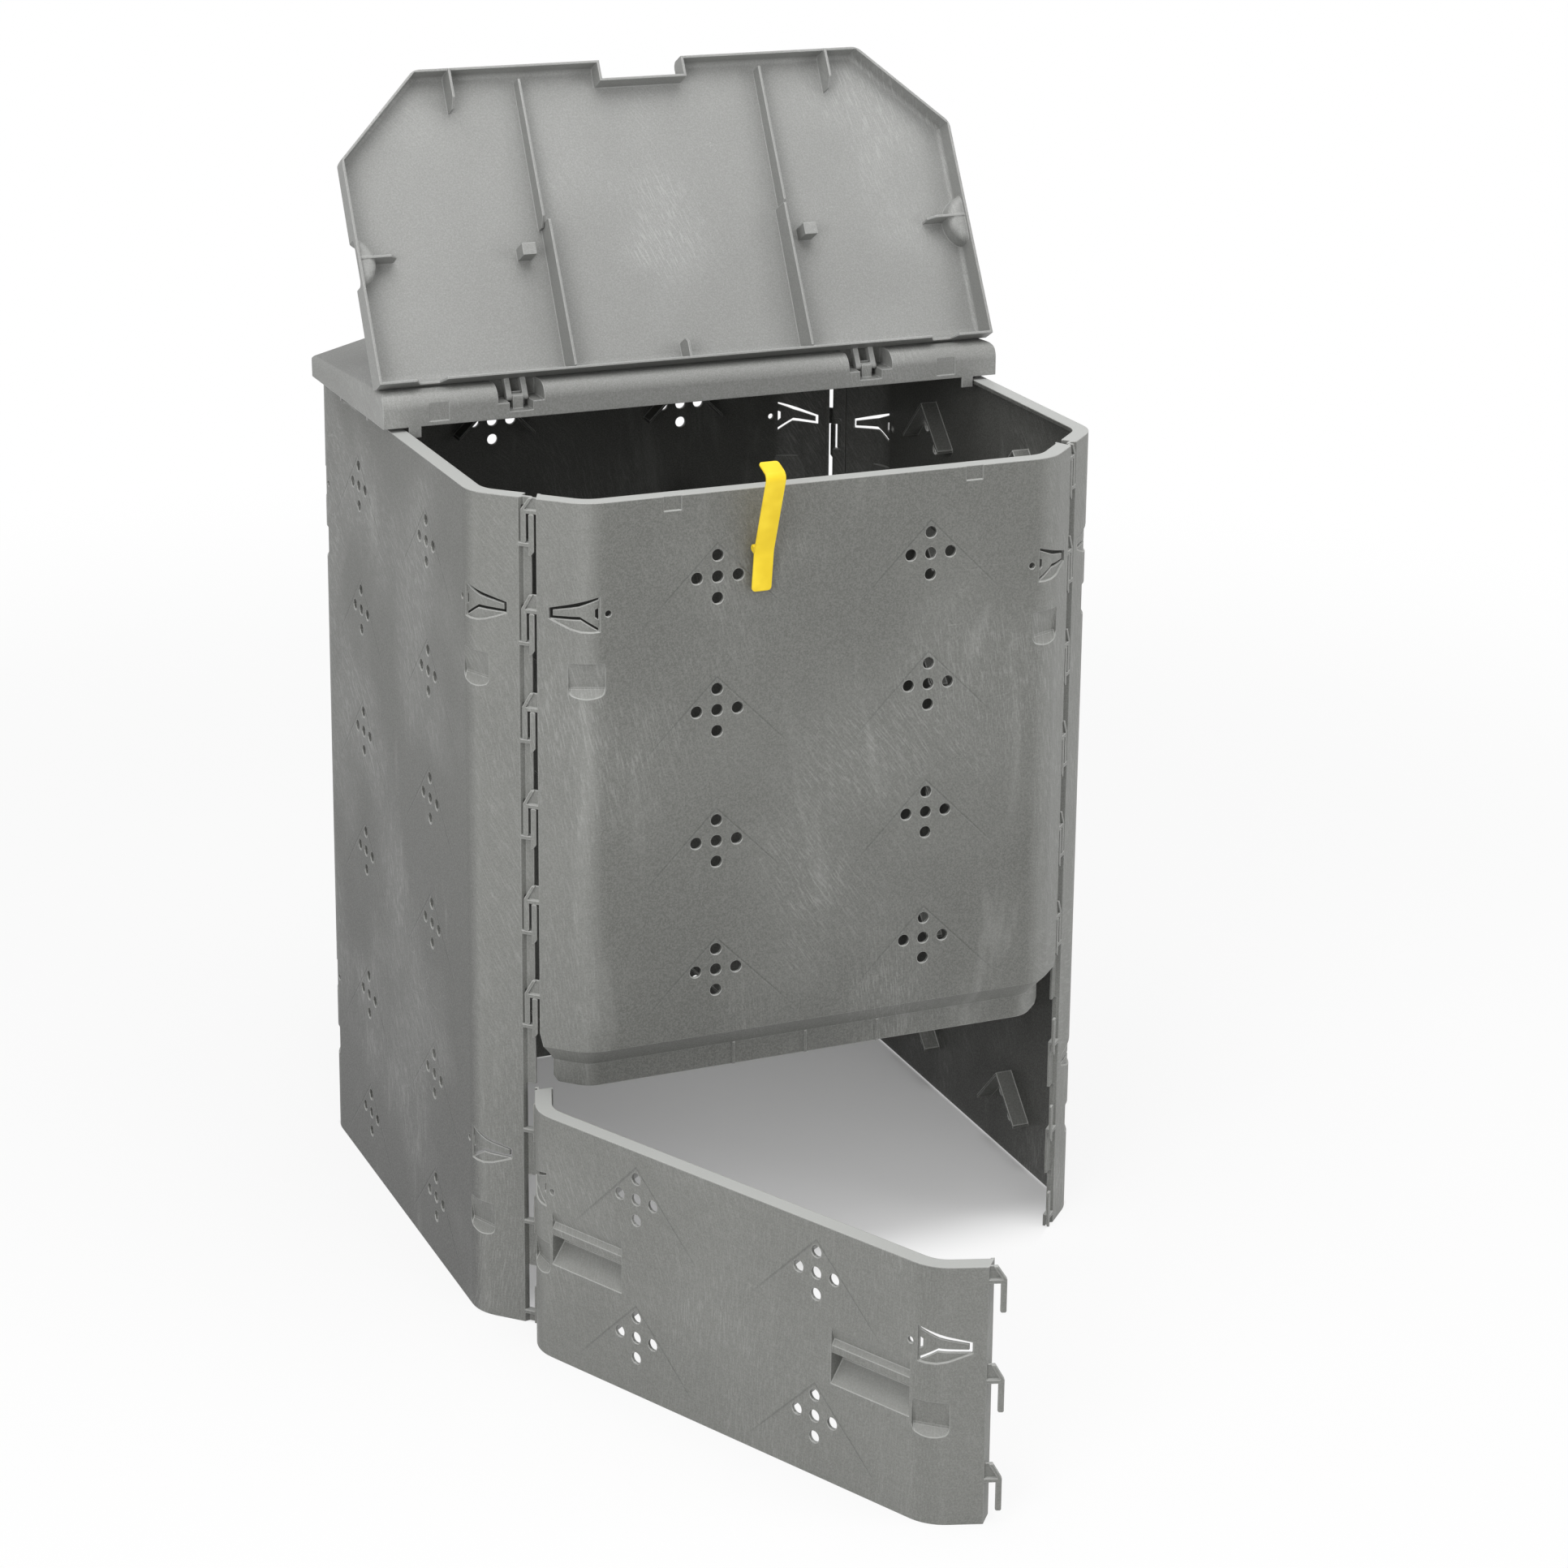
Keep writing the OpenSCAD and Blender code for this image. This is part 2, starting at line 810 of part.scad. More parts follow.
// Recesses in the lid: the finger notch at the front and a round hollow over the rim of each side.
module lid_hollows(grow) {
    edge = 7 + grow;
    r = hollow_r + grow;
    translate([-notch_w - grow, -roof_half - 20, lid_rim - 20])
        cube([2 * (notch_w + grow), 20 + notch_d + grow, 80]);
    both()
        translate([roof_half + hollow_r - hollow_d, lid_edge - hollow_y, lid_rim + hollow_low - grow])
            rotate_extrude()
                difference() {
                    square([r, 50]);
                    difference() {
                        translate([r - edge, -1])
                            square([edge + 1, edge + 1]);
                        translate([r - edge, edge])
                            circle(r = edge);
                    }
                }
}

// Arms and bar of one hinge, as closed.
module hinge_fork() {
    for (side = [-1, 1])
        translate([hinge_x + side * (fork_w + arm_w) / 2 - arm_w / 2, 0, 0])
            rotate([90, 0, 90])
                linear_extrude(arm_w) {
                    translate(axis)
                        circle(d = arm_h);
                    translate([lid_edge - 2.6, axis[1] - arm_h / 2])
                        square([axis[0] - lid_edge + 2.6, arm_h]);
                }
    translate([hinge_x - fork_w / 2 - 1, axis[0], axis[1]])
        rotate([0, 90, 0])
            cylinder(d = axle_d, h = fork_w + 2);
}

// Rib under the lid between y = from and y = to, cut slanted at its ends.
module long_rib(x, from, to, low, slant_from, slant_to) {
    high = low + 60;
    translate([x, 0, 0])
        rotate([90, 0, 90])
            linear_extrude(skin)
                polygon([
                    [from, high], [from, low + slant_from], [from + slant_from, low],
                    [to - slant_to, low], [to, low + slant_to], [to, high]
                ]);
}

module lid_ribs() {
    step_y = lid_edge - 190;
    intersection() {
        lid_block(1, lid_rim - 3);
        union() {
            both() {
                // Long ribs, deeper on the hinge side, where they step sideways.
                long_rib(153, step_y, lid_edge - 4, lid_corner[1] - 20, 2, 0);
                long_rib(157, lid_edge - 372, step_y + 6, lid_corner[1] - 13, 0, 12);
                // Short ribs that rest on the front rim.
                long_rib(246.5, -roof_half + 1, -roof_half + 50, lid_rim - lid_rim_gap + hook_fit, 0, 12);
                // Cross rib over the hollow in each side.
                translate([0, lid_edge - 160, 0])
                    rotate([90, 0, 0])
                        mirror([0, 0, 1])
                            linear_extrude(skin)
                                polygon([
                                    [roof_half - 2, lid_rim + 4], [roof_half - 42, lid_rim + 4],
                                    [roof_half - 51, lid_rim + 14], [roof_half - 51, lid_rim + 60],
                                    [roof_half - 2, lid_rim + 60]
                                ]);
                // Small box-shaped catches under the roof.
                translate([176, lid_edge - 163, lid_corner[1] - 14])
                    difference() {
                        cube([17, 15, 60]);
                        translate([skin, -1, skin])
                            cube([17 - 2 * skin, 13, 60]);
                    }
            }
            long_rib(-4.5, lid_edge - 30, lid_edge - 2, lid_rim + 8, 6, 0);
        }
    }
}

module lid_closed() {
    difference() {
        union() {
            difference() {
                intersection() {
                    on_lid()
                        roof_solid(80);
                    lid_section(lid_edge_r, lid_rim);
                }
                lid_hollows(0);
                difference() {
                    lid_block(skin, lid_rim - 5);
                    lid_hollows(skin);
                }
            }
            difference() {
                lid_ribs();
                lid_hollows(0);
            }
        }
        // Arches in the hinge-side rim.
        both()
            translate([334.5, lid_edge + 5, lid_rim])
                rotate([90, 0, 0])
                    linear_extrude(16)
                        polygon([[-19, -5], [-19, 0], [-12, 14], [12, 14], [19, 0], [19, -5]]);
    }
    both()
        hinge_fork();
}

module lid() {
    color(pale)
        translate([0, axis[0], axis[1]])
            rotate([-lid_open, 0, 0])
                translate([0, -axis[0], -axis[1]])
                    lid_closed();
}

// Sets a roof solid on the cover's slope.
module on_cover() {
    translate([0, axis[0], axis[1]])
        rotate([-cover_pitch, 0, 0])
            translate([0, -axis[0], edge_r])
                children();
}

// Fixed rear half: its front edge is round about the hinge axis.
module cover_section(r, low) {
    translate([-roof_half - 1, 0, 0])
        rotate([90, 0, 90])
            linear_extrude(2 * roof_half + 2) {
                translate(axis)
                    circle(r = r);
                translate([axis[0] - r, low])
                    square([r, axis[1] - low]);
                translate([axis[0], low])
                    square([roof_half + 20, 80]);
            }
}

module cover_block(grow, low) {
    intersection() {
        on_cover()
            roof_block(grow, 80);
        cover_section(edge_r - grow, low);
    }
}

window_w = fork_w / 2 + arm_w + 1.4;
window_low = axis[1] - 13;

// Pocket round each hinge, with the narrower window under it.
module hinge_pockets(grow) {
    both()
        translate([hinge_x, 0, 0]) {
            translate([-pocket_w - grow, axis[0] - edge_r - 10, axis[1] - 2 - grow])
                cube([2 * (pocket_w + grow), edge_r + 28 + grow, 60]);
            translate([-window_w - grow, axis[0] - edge_r - 10, window_low - grow])
                cube([2 * (window_w + grow), edge_r + 20 + grow, 60]);
        }
}

// Clip that holds the hinge bar, open at the top so that it snaps in.
module hinge_clip() {
    clip_r = axle_d / 2 + 2.6;
    clip_w = fork_w - 2 * hook_fit;
    translate([hinge_x - clip_w / 2, 0, 0])
        rotate([90, 0, 90])
            linear_extrude(clip_w)
                difference() {
                    union() {
                        translate(axis)
                            circle(r = clip_r);
                        translate([axis[0] - clip_r, window_low - skin / 2])
                            square([2 * clip_r, 13 + skin / 2]);
                    }
                    translate(axis)
                        circle(r = axle_d / 2 + axle_fit);
                    translate([axis[0], axis[1]])
                        rotate(30)
                            translate([-3.4, 0])
                                square([6.8, 12]);
                }
}

module cover_ribs() {
    foot = wall_h + hook_fit;
    intersection() {
        cover_block(1, foot);
        both() {
            // Ribs that stand on the rim of the rear wall.
            translate([153.5, half - 70, foot])
                cube([3, 90, 60]);
            translate([300, half - corner_cut / 2 - 40, foot])
                cube([3, 60, 60]);
            // Ribs that stand on the rims of the side walls.
            for (y = [60, 168])
                translate([half - 34, y, foot])
                    cube([60, 3, 60]);
        }
    }
}

module rear_cover() {
    color(pale) {
        difference() {
            intersection() {
                on_cover()
                    roof_solid(80);
                cover_section(edge_r, cover_rim);
            }
            hinge_pockets(0);
            difference() {
                cover_block(skin, cover_rim - 5);
                hinge_pockets(skin);
            }
            // Upright grooves in the front.
            both()
                translate([318, axis[0] - edge_r - 5, cover_rim + 5])
                    cube([25, 6, 60]);
        }
        // Tongues that hang inside the side walls' rims.
        both()
            translate([half - rim_w - 17, axis[0] - edge_r + eps, wall_h - 8])
                cube([15, skin - 2 * eps, cover_rim_gap + 12]);
        difference() {
            cover_ribs();
            hinge_pockets(0);
        }
        both()
            hinge_clip();
    }
}

// Strap as latched, drawn as (y, z) from its pivot: arm, hook over the lid and tail.
module strap_latched() {
    back = pin_d / 2 + 2.4;
    lid_top = lid_corner[1] + lid_edge_r - (roof_half + lid_corner[0]) * tan(lid_pitch);
    over = lid_top - strap_axis[2] + 1;
    bend = 8;
    rotate([90, 0, 90])
        linear_extrude(strap_w, center = true) {
            translate([-back - strap_t, 0])
                square([strap_t, over - bend + strap_t]);
            translate([-back - strap_t + bend, over - bend + strap_t])
                intersection() {
                    difference() {
                        circle(r = bend);
                        circle(r = bend - strap_t);
                    }
                    translate([-bend, 0])
                        square([bend, bend]);
                }
            translate([-back - strap_t + bend, over])
                square([20, strap_t]);
            translate([-back - strap_t + bend + 20, over + strap_t / 2])
                circle(d = strap_t);
            translate([-back, 0])
                rotate(-tail_a)
                    translate([-strap_t, -tail_l])
                        square([strap_t, tail_l]);
            translate([-back - strap_t / 2, 0])
                circle(d = strap_t * 1.1);
        }
    // Two cheeks carry the pin on either side of the eye.
    cheek = (strap_w - eye_w) / 2 - 2 * hook_fit;
    for (side = [-1, 1])
        translate([side * (eye_w / 2 + hook_fit + cheek / 2), 0, 0])
            rotate([90, 0, 90])
                linear_extrude(cheek, center = true) {
                    circle(r = eye_r);
                    translate([-back - 1, -eye_r])
                        square([back + 1, 2 * eye_r]);
                }
    rotate([0, 90, 0])
        cylinder(d = pin_d, h = strap_w - 4 * hook_fit, center = true);
}

module lid_strap() {
    color(yellow)
        translate(strap_axis)
            rotate([strap_out, 0, 0])
                strap_latched();
}

module on_origin() {
    translate([0, -foot_y, 0])
        children();
}

on_origin() left_wall();
on_origin() right_wall();
on_origin() rear_wall();
on_origin() front_wall();
on_origin() flap();
on_origin() rear_cover();
on_origin() lid();
on_origin() lid_strap();
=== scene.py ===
# Grey garden compost bin with hooked panels, an open flap and an open lid.
import math

import bpy
import numpy as np
from mathutils import Matrix, Vector


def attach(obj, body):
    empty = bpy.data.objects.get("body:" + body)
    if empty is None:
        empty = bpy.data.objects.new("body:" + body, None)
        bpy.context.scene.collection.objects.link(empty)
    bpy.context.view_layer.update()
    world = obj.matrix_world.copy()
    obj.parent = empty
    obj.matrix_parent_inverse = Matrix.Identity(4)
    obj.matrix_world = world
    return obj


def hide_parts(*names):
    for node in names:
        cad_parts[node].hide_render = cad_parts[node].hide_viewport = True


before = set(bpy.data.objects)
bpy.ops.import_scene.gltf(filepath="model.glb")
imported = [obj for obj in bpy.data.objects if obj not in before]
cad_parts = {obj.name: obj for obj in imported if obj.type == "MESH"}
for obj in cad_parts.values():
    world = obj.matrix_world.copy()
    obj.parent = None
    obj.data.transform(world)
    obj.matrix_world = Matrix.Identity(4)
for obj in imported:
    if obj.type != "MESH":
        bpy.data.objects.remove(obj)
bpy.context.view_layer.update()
binMiddleY = -0.387  # halfway between the front and the rear wall
print("frame loaded:", len(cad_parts), "nodes")


# Small helpers: each adds nodes to a tree and gives back their output.
def newGroup(name, inputs, outputs):
    group = bpy.data.node_groups.new(name, "ShaderNodeTree")
    for label, kind, value in inputs:
        socket = group.interface.new_socket(label, in_out="INPUT", socket_type=kind)
        if value is not None:
            socket.default_value = value
    for label, kind in outputs:
        group.interface.new_socket(label, in_out="OUTPUT", socket_type=kind)
    return group, group.nodes.new("NodeGroupInput"), group.nodes.new("NodeGroupOutput")


def mathNode(tree, kind, a, b=None, clamp=False):
    node = tree.nodes.new("ShaderNodeMath")
    node.operation = kind
    node.use_clamp = clamp
    for index, value in enumerate((a, b)):
        if value is None:
            continue
        if isinstance(value, (int, float)):
            node.inputs[index].default_value = value
        else:
            tree.links.new(value, node.inputs[index])
    return node.outputs[0]


def ramp(tree, value, low, high, outLow=0.0, outHigh=1.0):
    node = tree.nodes.new("ShaderNodeMapRange")
    node.interpolation_type = "SMOOTHSTEP"
    tree.links.new(value, node.inputs["Value"])
    node.inputs["From Min"].default_value = low
    node.inputs["From Max"].default_value = high
    node.inputs["To Min"].default_value = outLow
    node.inputs["To Max"].default_value = outHigh
    return node.outputs["Result"]


def noise(tree, vector, scale, detail=2.0, rough=0.5, distortion=0.0):
    node = tree.nodes.new("ShaderNodeTexNoise")
    tree.links.new(vector, node.inputs["Vector"])
    node.inputs["Scale"].default_value = scale
    node.inputs["Detail"].default_value = detail
    node.inputs["Roughness"].default_value = rough
    node.inputs["Distortion"].default_value = distortion
    return node.outputs["Fac"]


def mixColour(tree, factor, a, b, kind="MIX"):
    node = tree.nodes.new("ShaderNodeMix")
    node.data_type = "RGBA"
    node.blend_type = kind
    for label, value in (("Factor", factor), ("A", a), ("B", b)):
        socket = node.inputs[label]
        if isinstance(value, (int, float, tuple, list)):
            socket.default_value = value if isinstance(value, (int, float)) else (*value[:3], 1.0)
        else:
            tree.links.new(value, socket)
    return node.outputs["Result"]


def stretched(tree, vector, location, rotation, scale):
    node = tree.nodes.new("ShaderNodeMapping")
    tree.links.new(vector, node.inputs["Vector"])
    node.inputs["Location"].default_value = location
    node.inputs["Rotation"].default_value = [math.radians(angle) for angle in rotation]
    node.inputs["Scale"].default_value = scale
    return node.outputs["Vector"]


def buildBrushGroup():
    # Brushed marks: fine strokes along rings round two far centres, bent by a broad warp and broken
    # up along their length, with broad soft patches that say where they show.
    spec = {"warpScale": 1.8, "warpBy": 0.07, "centres": ((-1.4, 1.0, -0.7), (-2.4, 0.3, 0.2)),
            "regionScale": 2.6, "regionFrom": 0.5, "regionTo": 0.6, "strokeFrom": 0.46,
            "strokeTo": 0.72, "patchScale": 4.3, "patchFrom": 0.44, "patchTo": 0.7}
    group, entry, leave = newGroup(
        "brushedMarks",
        [("Vector", "NodeSocketVector", None), ("Fine", "NodeSocketFloat", 700.0),
         ("Along", "NodeSocketFloat", 26.0), ("Seed", "NodeSocketFloat", 0.0)],
        [("Strokes", "NodeSocketFloat"), ("Patch", "NodeSocketFloat")],
    )
    seeded = group.nodes.new("ShaderNodeVectorMath")
    seeded.operation = "ADD"
    group.links.new(entry.outputs["Vector"], seeded.inputs[0])
    seedVector = group.nodes.new("ShaderNodeCombineXYZ")
    for index in range(3):
        group.links.new(entry.outputs["Seed"], seedVector.inputs[index])
    group.links.new(seedVector.outputs[0], seeded.inputs[1])
    warp = group.nodes.new("ShaderNodeTexNoise")
    warp.inputs["Scale"].default_value = spec["warpScale"]
    warp.inputs["Detail"].default_value = 1.0
    group.links.new(seeded.outputs[0], warp.inputs["Vector"])
    bent = group.nodes.new("ShaderNodeVectorMath")
    bent.operation = "MULTIPLY_ADD"
    group.links.new(warp.outputs["Color"], bent.inputs[0])
    bent.inputs[1].default_value = (spec["warpBy"], spec["warpBy"], spec["warpBy"])
    group.links.new(entry.outputs["Vector"], bent.inputs[2])
    slow = group.nodes.new("ShaderNodeVectorMath")
    slow.operation = "SCALE"
    group.links.new(bent.outputs[0], slow.inputs[0])
    group.links.new(entry.outputs["Along"], slow.inputs["Scale"])
    total = None
    for centre in spec["centres"]:
        away = group.nodes.new("ShaderNodeVectorMath")
        away.operation = "DISTANCE"
        group.links.new(bent.outputs[0], away.inputs[0])
        away.inputs[1].default_value = centre
        across = group.nodes.new("ShaderNodeCombineXYZ")
        rings = mathNode(group, "MULTIPLY", away.outputs["Value"], entry.outputs["Fine"])
        group.links.new(rings, across.inputs[0])
        place = group.nodes.new("ShaderNodeVectorMath")
        place.operation = "ADD"
        group.links.new(slow.outputs[0], place.inputs[0])
        group.links.new(across.outputs[0], place.inputs[1])
        fibres = noise(group, place.outputs[0], 1.0, 1.0, 0.6)
        stroke = ramp(group, fibres, spec["strokeFrom"], spec["strokeTo"])
        # Each set of rings has its own regions: the second takes what the first leaves.
        region = noise(group, seeded.outputs[0], spec["regionScale"], 1.0)
        limits = (spec["regionFrom"], spec["regionTo"])
        choose = ramp(group, region, *(limits if total is None else limits[::-1]))
        part = mathNode(group, "MULTIPLY", stroke, choose)
        total = part if total is None else mathNode(group, "ADD", total, part)
    clouds = noise(group, seeded.outputs[0], spec["patchScale"], 2.0, 0.55)
    patch = ramp(group, clouds, spec["patchFrom"], spec["patchTo"])
    group.links.new(total, leave.inputs["Strokes"])
    group.links.new(patch, leave.inputs["Patch"])
    return group


def buildFormGroup():
    # Where a panel bends, slopes, or faces up, sideways or inwards, from the piece's own normal. Each
    # pair says where the mask starts and where it is full.
    spec = {"bend": (0.08, 0.5), "curveIn": (0.02, 0.2), "curveOut": (0.62, 0.4), "slope": (0.3, 0.65),
            "up": (0.8, 0.97), "side": (0.85, 0.99), "inside": (-0.02, -0.12)}
    group, entry, leave = newGroup(
        "panelForm", [("Normal", "NodeSocketVector", None), ("Vector", "NodeSocketVector", None)],
        [("Bend", "NodeSocketFloat"), ("Curve", "NodeSocketFloat"), ("Slope", "NodeSocketFloat"),
         ("Up", "NodeSocketFloat"), ("Side", "NodeSocketFloat"), ("Inside", "NodeSocketFloat")],
    )
    parts = group.nodes.new("ShaderNodeSeparateXYZ")
    group.links.new(entry.outputs["Normal"], parts.inputs[0])
    across = mathNode(group, "ABSOLUTE", parts.outputs[0])
    deep = mathNode(group, "ABSOLUTE", parts.outputs[1])
    slant = mathNode(group, "MINIMUM", across, deep)
    group.links.new(ramp(group, slant, *spec["bend"]), leave.inputs["Bend"])
    # The curved strip alone, between the flat face and the chamfer.
    curve = mathNode(group, "MULTIPLY", ramp(group, slant, *spec["curveIn"]),
                     ramp(group, slant, *spec["curveOut"]))
    group.links.new(curve, leave.inputs["Curve"])
    group.links.new(ramp(group, parts.outputs[2], *spec["slope"]), leave.inputs["Slope"])
    group.links.new(ramp(group, parts.outputs[2], *spec["up"]), leave.inputs["Up"])
    group.links.new(ramp(group, across, *spec["side"]), leave.inputs["Side"])
    # Faces that look towards the upright line through the middle of the bin.
    spot = group.nodes.new("ShaderNodeSeparateXYZ")
    group.links.new(entry.outputs["Vector"], spot.inputs[0])
    outward = mathNode(group, "MULTIPLY", parts.outputs[0], spot.outputs[0])
    fromMiddle = mathNode(group, "SUBTRACT", spot.outputs[1], binMiddleY)
    outward = mathNode(group, "ADD", outward, mathNode(group, "MULTIPLY", parts.outputs[1], fromMiddle))
    group.links.new(ramp(group, outward, *spec["inside"]), leave.inputs["Inside"])
    return group


def buildScratchGroup():
    # Sparse curved hairline scratches: thin bands where a stretched noise crosses its middle level.
    spec = {"sets": ({"turn": 24, "scale": 5.0, "from": 0.62},
                     {"turn": -38, "scale": 7.0, "from": 0.66},
                     {"turn": 71, "scale": 4.0, "from": 0.64}),
            "stretch": (1, 1, 7), "line": (1.0, 0.4, 1.2), "level": 0.5, "thin": 0.0035,
            "spread": 2.4, "spreadByScale": 0.3, "fade": 0.08}
    group, entry, leave = newGroup(
        "hairScratches", [("Vector", "NodeSocketVector", None)], [("Mask", "NodeSocketFloat")]
    )
    total = None
    for lines in spec["sets"]:
        angle, scale, density = lines["turn"], lines["scale"], lines["from"]
        turn = (angle, angle * 0.6, angle)
        shift = (angle * 0.1, 0, 0)  # a place of its own in the noise for each set
        turned = stretched(group, entry.outputs["Vector"], shift, turn, spec["stretch"])
        line = noise(group, turned, scale, *spec["line"])
        crossing = mathNode(group, "ABSOLUTE", mathNode(group, "SUBTRACT", line, spec["level"]))
        thin = ramp(group, crossing, 0.0, spec["thin"], 1.0, 0.0)
        patches = spec["spread"] + scale * spec["spreadByScale"]
        spread = noise(group, entry.outputs["Vector"], patches, 2.0)
        where = ramp(group, spread, density, density + spec["fade"])
        part = mathNode(group, "MULTIPLY", thin, where)
        total = part if total is None else mathNode(group, "MAXIMUM", total, part)
    group.links.new(total, leave.inputs["Mask"])
    return group


def buildEdgeGroup():
    # Rounded edges: how far a rounded normal turns from the true one. The mask is painted paler as edge
    # highlights.
    spec = {"edgeLightFrom": 0.998, "edgeLightTo": 0.88, "lipFrom": 0.9985, "lipTo": 0.972,
            "upFrom": 0.07, "upTo": 0.25}
    group, entry, leave = newGroup(
        "roundedEdgeHighlights",
        [("Radius", "NodeSocketFloat", 0.0015)],
        [("Mask", "NodeSocketFloat"), ("Lip", "NodeSocketFloat"), ("Normal", "NodeSocketVector")],
    )
    bevel = group.nodes.new("ShaderNodeBevel")
    bevel.samples = 6
    group.links.new(entry.outputs["Radius"], bevel.inputs["Radius"])
    geometry = group.nodes.new("ShaderNodeNewGeometry")
    dot = group.nodes.new("ShaderNodeVectorMath")
    dot.operation = "DOT_PRODUCT"
    group.links.new(bevel.outputs[0], dot.inputs[0])
    group.links.new(geometry.outputs["Normal"], dot.inputs[1])
    edgeLight = ramp(group, dot.outputs["Value"], spec["edgeLightFrom"], spec["edgeLightTo"])
    group.links.new(edgeLight, leave.inputs["Mask"])
    # A lip, painted paler as a highlight, is even a shallow edge whose rounded normal looks up.
    parts = group.nodes.new("ShaderNodeSeparateXYZ")
    group.links.new(bevel.outputs[0], parts.inputs[0])
    lip = mathNode(group, "MULTIPLY", ramp(group, dot.outputs["Value"], spec["lipFrom"], spec["lipTo"]),
                   ramp(group, parts.outputs[2], spec["upFrom"], spec["upTo"]))
    group.links.new(lip, leave.inputs["Lip"])
    group.links.new(bevel.outputs[0], leave.inputs["Normal"])
    return group


def buildSinkGroup():
    # Sink marks of the chevrons inside: a thin line that falls to both sides from above each cross of
    # holes, where |distance from the column| + height = height of the cross + apex.
    spec = {"column": 0.1315, "rows": (0.9015, 0.7448, 0.5882, 0.4315, 0.2395),
            "apex": 0.0385, "width": 0.0026, "legFrom": 0.055, "legTo": 0.11}
    group, entry, leave = newGroup(
        "sinkMarks",
        [("Vector", "NodeSocketVector", None), ("Sideways", "NodeSocketFloat", 0.0),
         ("Lowest", "NodeSocketFloat", 0.078)],
        [("Mask", "NodeSocketFloat")],
    )
    spot = group.nodes.new("ShaderNodeSeparateXYZ")
    group.links.new(entry.outputs["Vector"], spot.inputs[0])
    deep = mathNode(group, "ABSOLUTE", mathNode(group, "SUBTRACT", spot.outputs[1], binMiddleY))
    wide = mathNode(group, "ABSOLUTE", spot.outputs[0])
    choose = group.nodes.new("ShaderNodeMix")
    group.links.new(entry.outputs["Sideways"], choose.inputs["Factor"])
    group.links.new(wide, choose.inputs["A"])
    group.links.new(deep, choose.inputs["B"])
    offset = mathNode(group, "SUBTRACT", choose.outputs["Result"], spec["column"])
    away = mathNode(group, "ABSOLUTE", offset)
    level = mathNode(group, "SUBTRACT", mathNode(group, "ADD", away, spot.outputs[2]), spec["apex"])
    near = None
    for row in (*spec["rows"], entry.outputs["Lowest"]):
        gap = mathNode(group, "ABSOLUTE", mathNode(group, "SUBTRACT", level, row))
        near = gap if near is None else mathNode(group, "MINIMUM", near, gap)
    line = ramp(group, near, 0.0, spec["width"], 1.0, 0.0)
    leg = ramp(group, away, spec["legFrom"], spec["legTo"], 1.0, 0.0)
    group.links.new(mathNode(group, "MULTIPLY", line, leg), leave.inputs["Mask"])
    return group


brushGroup = buildBrushGroup()
formGroup = buildFormGroup()
scratchGroup = buildScratchGroup()
edgeGroup = buildEdgeGroup()
sinkGroup = buildSinkGroup()
print("shared effects built")


def useGroup(tree, group, **values):
    node = tree.nodes.new("ShaderNodeGroup")
    node.node_tree = group
    for label, value in values.items():
        socket = node.inputs[label.capitalize()]
        if isinstance(value, (int, float)):
            socket.default_value = value
        else:
            tree.links.new(value, socket)
    return node


# What all the plastic pieces share. Each noise is given as scale, detail, roughness, distortion, and
# each band as the values between which it comes in.
grain = {
    "cloudBand": (0.3, 0.7), "roughBand": (0.25, 0.75), "speckBand": (0.35, 0.7),
    "dustBand": (0.4, 0.75), "markBand": (0.3, 0.75),
    "cloud": (2.6, 3.0, 0.55), "speck": (520.0, 2.0, 0.7), "dust": (1300.0, 1.0, 0.6),
    "wispStretch": (15, 15, 3.2), "wisp": (1.0, 5.0, 0.62, 0.5), "wispFrom": 0.57, "wispTo": 0.72,
    "markStretch": (30, 30, 420), "mark": (1.0, 2.0, 0.6), "markLow": 0.45, "sinkShade": 0.5,
    "sinkDepth": 6.0, "strokeDepth": 0.6, "speckDepth": 0.5, "bumpDistance": 0.0004,
    "roughSpread": 0.08, "patchPolish": -0.08, "shadeTop": 0.8, "sideShadeTop": 0.9, "dustShare": 0.8,
}


